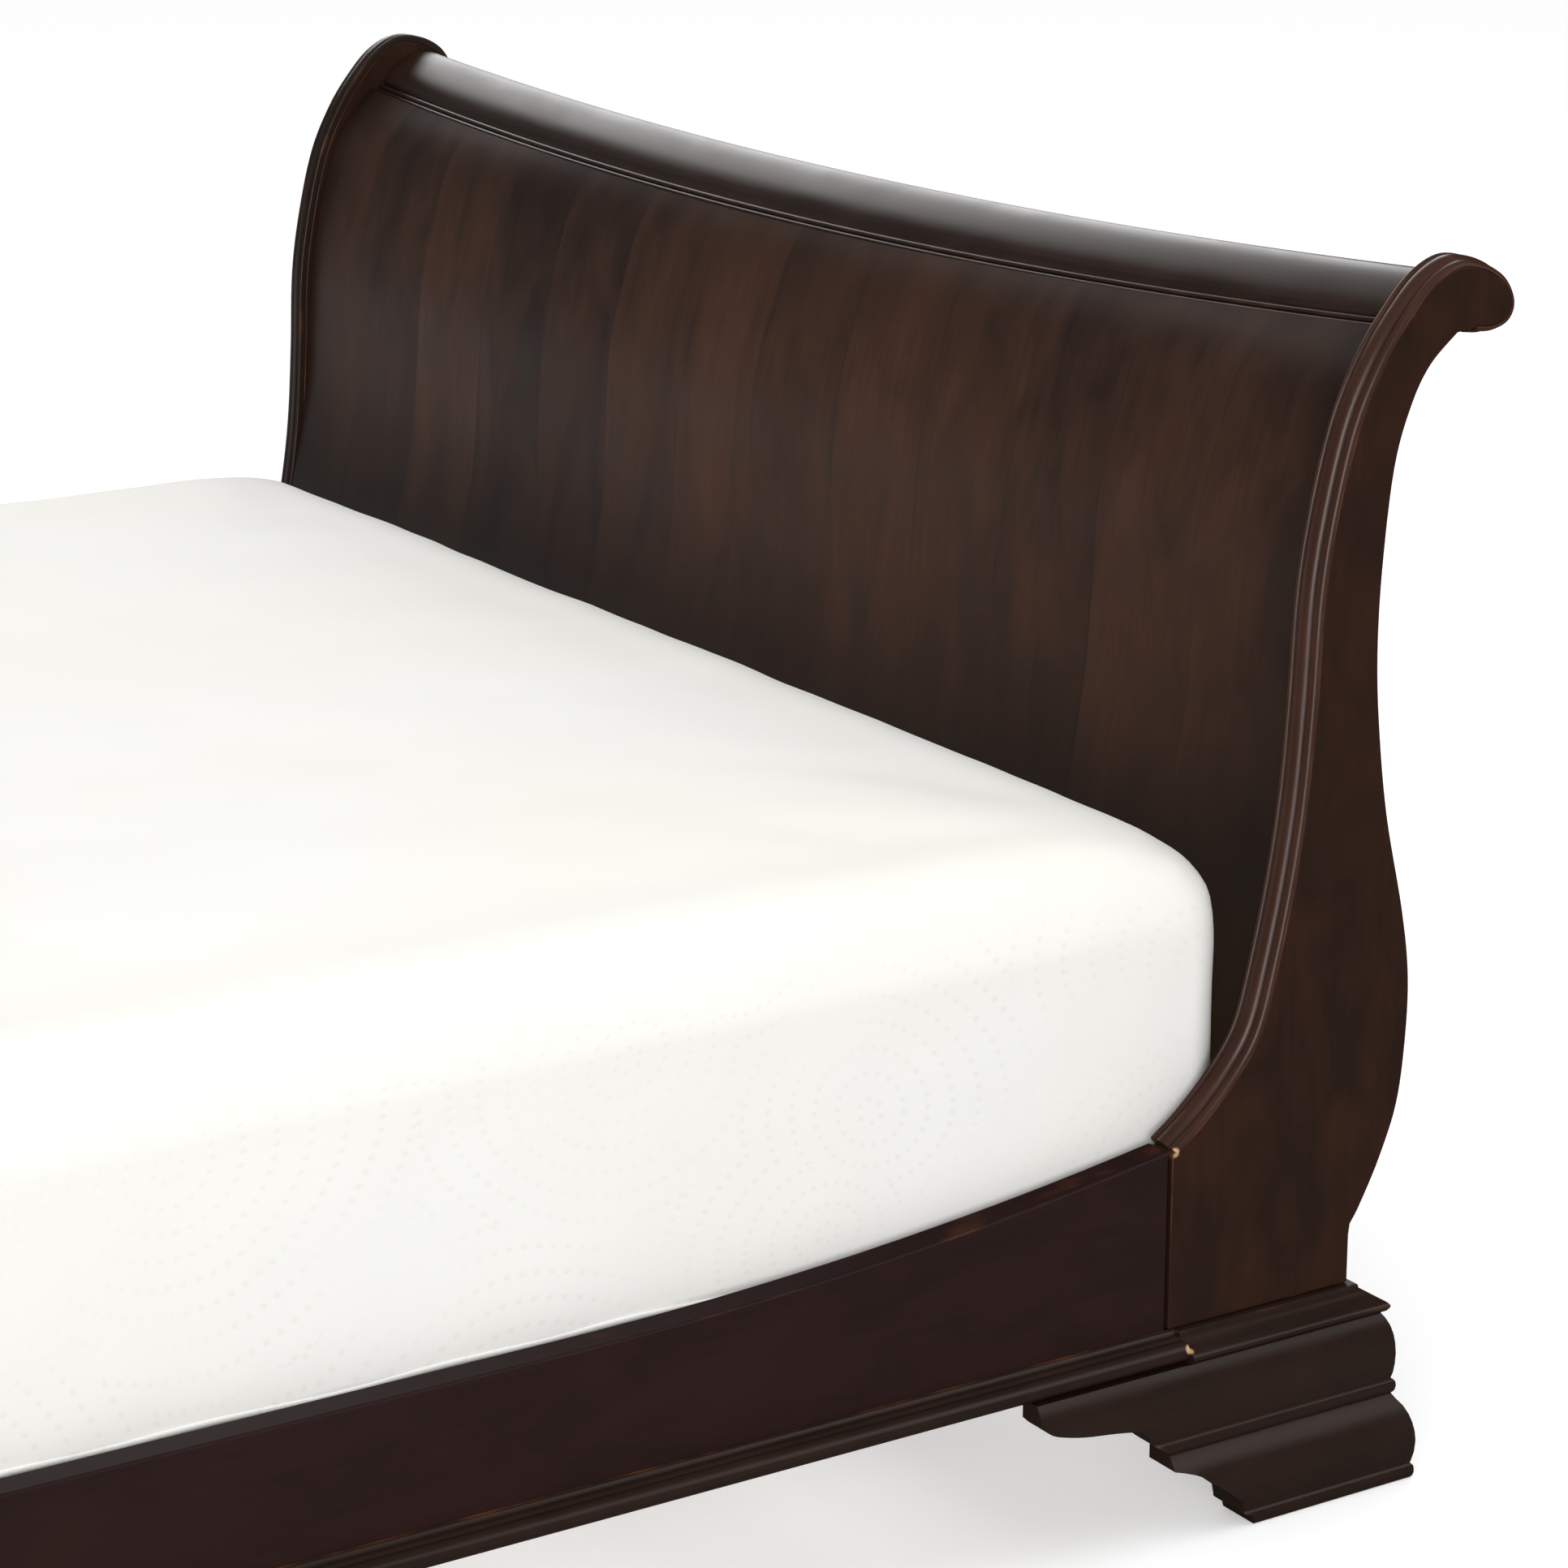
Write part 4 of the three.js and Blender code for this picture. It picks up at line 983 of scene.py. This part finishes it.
# ---- Levelling glides ---------------------------------------------------------------------------
# A nylon foot with a threaded stem, moulded in one, screws into each leg and takes up an uneven floor.
# The mould's fine spark texture leaves the black nylon matt, and is drawn coarse enough to show.
GLIDE_OUTLINE = [
    (0, 0), (17.6, 0), (18.9, 0.5), (19.7, 1.3), (20, 2.4), (20, 5.4), (19.6, 6.4), (18.6, 7), (9, 7.6),
    (7.4, 8.6), (7.2, 12), (5, 12.6)]
STEM_RADIUS, STEM_START = GLIDE_OUTLINE[-1]
STEM_TIP_RADIUS = 4.2
THREAD_PITCH = 2.0
THREAD_DEPTH = 0.7
GLIDE_STEPS = 32
SPECKS_PER_METRE = 1400.0


def moulded_nylon(name):
    """Black nylon with the mould's texture."""
    made, tree = empty_finish(name)
    place = add_node(tree, "ShaderNodeTexCoord").outputs["Object"]
    grain = add_node(tree, "ShaderNodeTexNoise", {
        "Vector": place, "Scale": SPECKS_PER_METRE, "Detail": 2.0})
    gloss = add_node(tree, "ShaderNodeMapRange", {
        "Value": grain, "From Min": 0.3, "From Max": 0.7, "To Min": 0.45, "To Max": 0.6})
    bump = add_node(tree, "ShaderNodeBump", {"Strength": 0.2, "Distance": 0.1 * MM, "Height": grain})
    nylon = add_node(tree, "ShaderNodeBsdfPrincipled", {
        "Base Color": paint("#17171a"), "Roughness": gloss, "Normal": bump})
    add_node(tree, "ShaderNodeOutputMaterial", {"Surface": nylon})
    return made


black_nylon = moulded_nylon("black_moulded_nylon")

for end in ("foot_end", "head_end"):
    low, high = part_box(f"{end}_levelling_glide")
    stem_end = high.z / MM
    outline = list(GLIDE_OUTLINE)
    z = STEM_START
    while z + THREAD_PITCH < stem_end - 1:
        outline += [(STEM_RADIUS - THREAD_DEPTH, z + THREAD_PITCH / 2), (STEM_RADIUS, z + THREAD_PITCH)]
        z += THREAD_PITCH
    outline += [(STEM_TIP_RADIUS, stem_end), (0, stem_end)]
    middle = (low + high) / 2
    rows = []
    for i in range(GLIDE_STEPS + 1):
        turn = 2 * math.pi * i / GLIDE_STEPS
        rows.append([Vector((middle.x + r * MM * math.cos(turn), middle.y + r * MM * math.sin(turn), z * MM))
                     for r, z in outline])
    glide = laid_surface(f"{end}_nylon_glide", rows)
    finish_piece(glide, black_nylon, "black_plastic", f"{end}_glide", f"{end}_levelling_glide")


# ---- Mattress -----------------------------------------------------------------------------------
# A foam mattress in a closed white cover, knitted double in polyester, with soft edges and no piping.
# A woven tape runs round it just above the rails, and everything lies loose on the slats.
SIDE_CLEARANCE = 3 * MM
END_STRETCH = 6 * MM
TOP_STRETCH = 4 * MM
CORNER_RADIUS = 28 * MM
CORNER_GROWTH = 0.9
TOP_RADIUS = 66 * MM
BOTTOM_RADIUS = 18 * MM
ROUND_STEPS = 8
TAPE_HEIGHT = 238.5 * MM
CLOTH_VOXEL = 18 * MM
CLOTH_CAP = 7 * MM
CLOTH_FRAMES = 20
CLOTH_PRESSURE = 4
SWELL = 1.6 * MM
SWELLS_PER_METRE = 7.0
RIPPLES_PER_METRE = 17.0


def rounded_block(name, low, high):
    """A block with rounded upright edges, a rounder top edge, and a slightly rounded bottom edge."""
    levels = []
    for i in range(ROUND_STEPS + 1):
        turn = math.pi / 2 * i / ROUND_STEPS
        levels.append((BOTTOM_RADIUS * (1 - math.sin(turn)), low.z + BOTTOM_RADIUS * (1 - math.cos(turn))))
    for i in range(ROUND_STEPS + 1):
        turn = math.pi / 2 * i / ROUND_STEPS
        levels.append((TOP_RADIUS * (1 - math.cos(turn)), high.z - TOP_RADIUS * (1 - math.sin(turn))))
    middle = (low + high) / 2
    rows = []
    for inset, z in levels:
        bend = CORNER_RADIUS + CORNER_GROWTH * inset
        half_x = (high.x - low.x) / 2 - inset
        half_y = (high.y - low.y) / 2 - inset
        row = []
        for quarter, (side_x, side_y) in enumerate(((1, 1), (-1, 1), (-1, -1), (1, -1))):
            for i in range(ROUND_STEPS + 1):
                turn = math.pi / 2 * (quarter + i / ROUND_STEPS)
                row.append(Vector((middle.x + side_x * (half_x - bend) + bend * math.cos(turn),
                                   middle.y + side_y * (half_y - bend) + bend * math.sin(turn), z)))
        rows.append(row + row[:1])
    return laid_surface(name, rows)


# The knit is matt, with a faint sheen at grazing angles. Its border has rings of small dots round
# uneven ovals, a little darker and sunk in, and the top is plain. Real stitches are under 1 mm wide,
# and are drawn at 1.4 mm to show.
BORDER_TOP = 446 * MM
BORDER_FADE = 12 * MM
OVALS_PER_METRE = 5.5
OVAL_STRETCH = 0.85
OVAL_SWAY = 0.1
RING_SPACING = 17 * MM
DOT_SPACING = 9 * MM
DOT_RADIUS = 2.1 * MM
STITCHES_PER_METRE = 700.0


def double_knit(name):
    """The cover's cloth. The dots lie in rings round the seeds of a cell pattern laid on the border."""
    made, tree = empty_finish(name)
    place = add_node(tree, "ShaderNodeTexCoord").outputs["Object"]
    axes = add_node(tree, "ShaderNodeSeparateXYZ", {0: place})
    run = add_node(tree, "ShaderNodeMath", {0: axes.outputs["X"], 1: axes.outputs["Y"]}, operation="ADD")
    eased = add_node(tree, "ShaderNodeMath", {0: run, 1: OVAL_STRETCH}, operation="MULTIPLY")
    lay = add_node(tree, "ShaderNodeCombineXYZ", {"X": eased, "Y": axes.outputs["Z"]})
    sway = add_node(tree, "ShaderNodeTexNoise", {"Vector": lay, "Scale": 3.0, "Detail": 1.0})
    shift = add_node(tree, "ShaderNodeVectorMath", {
        0: sway.outputs["Color"], 1: (OVAL_SWAY, OVAL_SWAY, 0.0)}, operation="MULTIPLY")
    swayed = add_node(tree, "ShaderNodeVectorMath", {0: shift, 1: lay}, operation="ADD")
    ovals = add_node(tree, "ShaderNodeTexVoronoi", {
        "Vector": swayed, "Scale": OVALS_PER_METRE, "Randomness": 0.9}, voronoi_dimensions="2D")
    off = add_node(tree, "ShaderNodeVectorMath", {
        0: swayed, 1: ovals.outputs["Position"]}, operation="SUBTRACT")

    parts = add_node(tree, "ShaderNodeSeparateXYZ", {0: off})
    reach = add_node(tree, "ShaderNodeVectorMath", {0: off}, operation="LENGTH")
    ring_place = add_node(tree, "ShaderNodeMath", {0: reach, 1: RING_SPACING}, operation="DIVIDE")
    ring = add_node(tree, "ShaderNodeMath", {0: ring_place}, operation="FLOOR")
    mid_ring = add_node(tree, "ShaderNodeMath", {0: ring, 1: 0.5}, operation="ADD")
    bearing = add_node(tree, "ShaderNodeMath", {
        0: parts.outputs["Y"], 1: parts.outputs["X"]}, operation="ARCTAN2")
    turn = add_node(tree, "ShaderNodeMath", {0: bearing, 1: 2 * math.pi}, operation="DIVIDE")
    room = add_node(tree, "ShaderNodeMath", {
        0: mid_ring, 1: 2 * math.pi * RING_SPACING / DOT_SPACING}, operation="MULTIPLY")
    dots_round = add_node(tree, "ShaderNodeMath", {0: room}, operation="ROUND")
    dot_place = add_node(tree, "ShaderNodeMath", {0: turn, 1: dots_round}, operation="MULTIPLY")
    gaps = []
    for where, spacing in ((ring_place, RING_SPACING), (dot_place, DOT_SPACING)):
        part = add_node(tree, "ShaderNodeMath", {0: where}, operation="FRACT")
        centred = add_node(tree, "ShaderNodeMath", {0: part, 1: 0.5}, operation="SUBTRACT")
        gap = add_node(tree, "ShaderNodeMath", {0: centred, 1: spacing}, operation="MULTIPLY")
        gaps.append(add_node(tree, "ShaderNodeMath", {0: gap, 1: 2.0}, operation="POWER"))
    squares = add_node(tree, "ShaderNodeMath", {0: gaps[0], 1: gaps[1]}, operation="ADD")
    apart = add_node(tree, "ShaderNodeMath", {0: squares}, operation="SQRT")
    dot = add_node(tree, "ShaderNodeMapRange", {
        "Value": apart, "From Min": DOT_RADIUS * 0.5, "From Max": DOT_RADIUS * 1.3, "To Min": 1,
        "To Max": 0})

    on_border = add_node(tree, "ShaderNodeMapRange", {
        "Value": axes.outputs["Z"], "From Min": BORDER_TOP, "From Max": BORDER_TOP + BORDER_FADE,
        "To Min": 1, "To Max": 0})
    patches = add_node(tree, "ShaderNodeTexNoise", {"Vector": lay, "Scale": 7.0, "Detail": 1.0})
    patch = add_node(tree, "ShaderNodeMapRange", {
        "Value": patches, "From Min": 0.38, "From Max": 0.55, "To Min": 0.1})
    dotted = add_node(tree, "ShaderNodeMath", {0: dot, 1: on_border}, operation="MULTIPLY")
    shown = add_node(tree, "ShaderNodeMath", {0: dotted, 1: patch}, operation="MULTIPLY")
    warmth = add_node(tree, "ShaderNodeTexNoise", {"Vector": place, "Scale": 2.5})
    warm = add_node(tree, "ShaderNodeMapRange", {"Value": warmth, "From Min": 0.4, "From Max": 0.7})
    plain = add_node(tree, "ShaderNodeMix", {
        0: warm, 6: paint("#f7f6f3"), 7: paint("#f6f4ec")}, data_type="RGBA")
    base = add_node(tree, "ShaderNodeMix", {0: shown, 6: plain, 7: paint("#f1f0ea")}, data_type="RGBA")
    knit = add_node(tree, "ShaderNodeTexNoise", {
        "Vector": place, "Scale": STITCHES_PER_METRE, "Detail": 2.0})
    sunk = add_node(tree, "ShaderNodeMath", {0: knit, 1: shown}, operation="SUBTRACT")
    bump = add_node(tree, "ShaderNodeBump", {"Strength": 0.25, "Distance": 0.3 * MM, "Height": sunk})
    cloth = add_node(tree, "ShaderNodeBsdfPrincipled", {
        "Base Color": base, "Roughness": 0.92, "Normal": bump, "Sheen Weight": 0.15,
        "Sheen Roughness": 0.5, "Specular IOR Level": 0.2})
    add_node(tree, "ShaderNodeOutputMaterial", {"Surface": cloth})
    return made


mattress_low, mattress_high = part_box("mattress")
cover_low = mattress_low + Vector((SIDE_CLEARANCE, -END_STRETCH, 0))
cover_high = mattress_high + Vector((-SIDE_CLEARANCE, END_STRETCH, TOP_STRETCH))
mattress = rounded_block("knit_covered_mattress", cover_low, cover_high)
mattress.data.remesh_voxel_size = CLOTH_VOXEL
bpy.ops.object.voxel_remesh()
rest_places = np.array([v.co for v in mattress.data.vertices])

# The cover fills out above the tape and is held below it. The foam keeps it from going inward.
held = mattress.vertex_groups.new(name="held")
low_down = [v.index for v in mattress.data.vertices if v.co.z < TAPE_HEIGHT + CLOTH_VOXEL]
held.add(low_down, 1.0, "REPLACE")
cloth = mattress.modifiers.new("cover", "CLOTH")
cloth.settings.vertex_group_mass = held.name
cloth.settings.use_pressure = True
cloth.settings.uniform_pressure_force = CLOTH_PRESSURE
cloth.settings.effector_weights.gravity = 0
cloth.point_cache.frame_end = CLOTH_FRAMES
for step in range(1, CLOTH_FRAMES + 1):
    bpy.context.scene.frame_set(step)
filled = mattress.evaluated_get(bpy.context.evaluated_depsgraph_get())
moved = np.array([v.co for v in filled.data.vertices]) - rest_places
outward = np.array([v.normal for v in mattress.data.vertices])
inward = np.maximum(-(moved * outward).sum(1, keepdims=True), 0)
moved += outward * inward
lengths = np.maximum(np.linalg.norm(moved, axis=1, keepdims=True), 1e-9)
moved *= np.minimum(lengths, CLOTH_CAP) / lengths
mattress.modifiers.remove(cloth)
mattress.data.vertices.foreach_set("co", (rest_places + moved).ravel())
bpy.context.scene.frame_set(1)

smooth = mattress.modifiers.new("finer", "SUBSURF")
smooth.levels = smooth.render_levels = 1
deselect()
mattress.select_set(True)
bpy.context.view_layer.objects.active = mattress
bpy.ops.object.modifier_apply(modifier=smooth.name)

# The foam is never quite flat: slow swells, with ripples half as high on them.
waved = []
for vertex in mattress.data.vertices:
    swell = noise.noise(vertex.co * SWELLS_PER_METRE) + 0.5 * noise.noise(vertex.co * RIPPLES_PER_METRE)
    waved.extend(vertex.co + vertex.normal * swell * SWELL)
mattress.data.vertices.foreach_set("co", waved)
bpy.ops.object.shade_smooth()
white_knit = double_knit("white_double_knit")
lay_material(mattress, white_knit)
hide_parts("mattress")
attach(mattress, "mattress")
# The cover is kept out of the lacquer's gloss, and its white doesn't brighten the wood beside it.
mattress.visible_glossy = False
mattress.visible_diffuse = False

# The woven tape is a flattened ring round the cover. It wavers by a millimetre or so as it was sewn:
# the two swells are in radians a metre.
TAPE_HALF_DEPTH = 1.6 * MM
TAPE_HALF_HEIGHT = 1.6 * TAPE_HALF_DEPTH
TAPE_STEP = 12 * MM
TAPE_TURNS = 12
TAPE_WAVER = 1.6 * MM
SHORT_SWELL = Vector((23, 31))
LONG_SWELL = Vector((-7, 11))

corner_line = []
for corner_x, corner_y, quarter in ((cover_high.x, cover_high.y, 0), (cover_low.x, cover_high.y, 1),
                                    (cover_low.x, cover_low.y, 2), (cover_high.x, cover_low.y, 3)):
    centre = Vector((corner_x - math.copysign(CORNER_RADIUS, corner_x),
                     corner_y - math.copysign(CORNER_RADIUS, corner_y - MID_RAIL)))
    for i in range(TAPE_TURNS + 1):
        turn = math.pi / 2 * (quarter + i / TAPE_TURNS)
        corner_line.append((centre, Vector((math.cos(turn), math.sin(turn)))))
tape_line = []
for (centre, out), (next_centre, _) in zip(corner_line, corner_line[1:] + corner_line[:1]):
    steps = max(1, round((next_centre - centre).length / TAPE_STEP))
    tape_line += [(centre.lerp(next_centre, i / steps), out) for i in range(steps)]
rows = []
for centre, out in tape_line + tape_line[:1]:
    height = TAPE_HEIGHT + TAPE_WAVER * math.sin(SHORT_SWELL.dot(centre)) * math.sin(LONG_SWELL.dot(centre))
    row = []
    for i in range(TAPE_TURNS + 1):
        roll = 2 * math.pi * i / TAPE_TURNS
        edge = centre + out * (CORNER_RADIUS + TAPE_HALF_DEPTH * math.cos(roll))
        row.append(Vector((*edge, height + TAPE_HALF_HEIGHT * math.sin(roll))))
    rows.append(row)
tape = laid_surface("mattress_woven_tape", rows)
deselect()
tape.select_set(True)
bpy.context.view_layer.objects.active = tape
bpy.ops.object.shade_smooth()
lay_material(tape, white_knit)
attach(tape, "mattress")
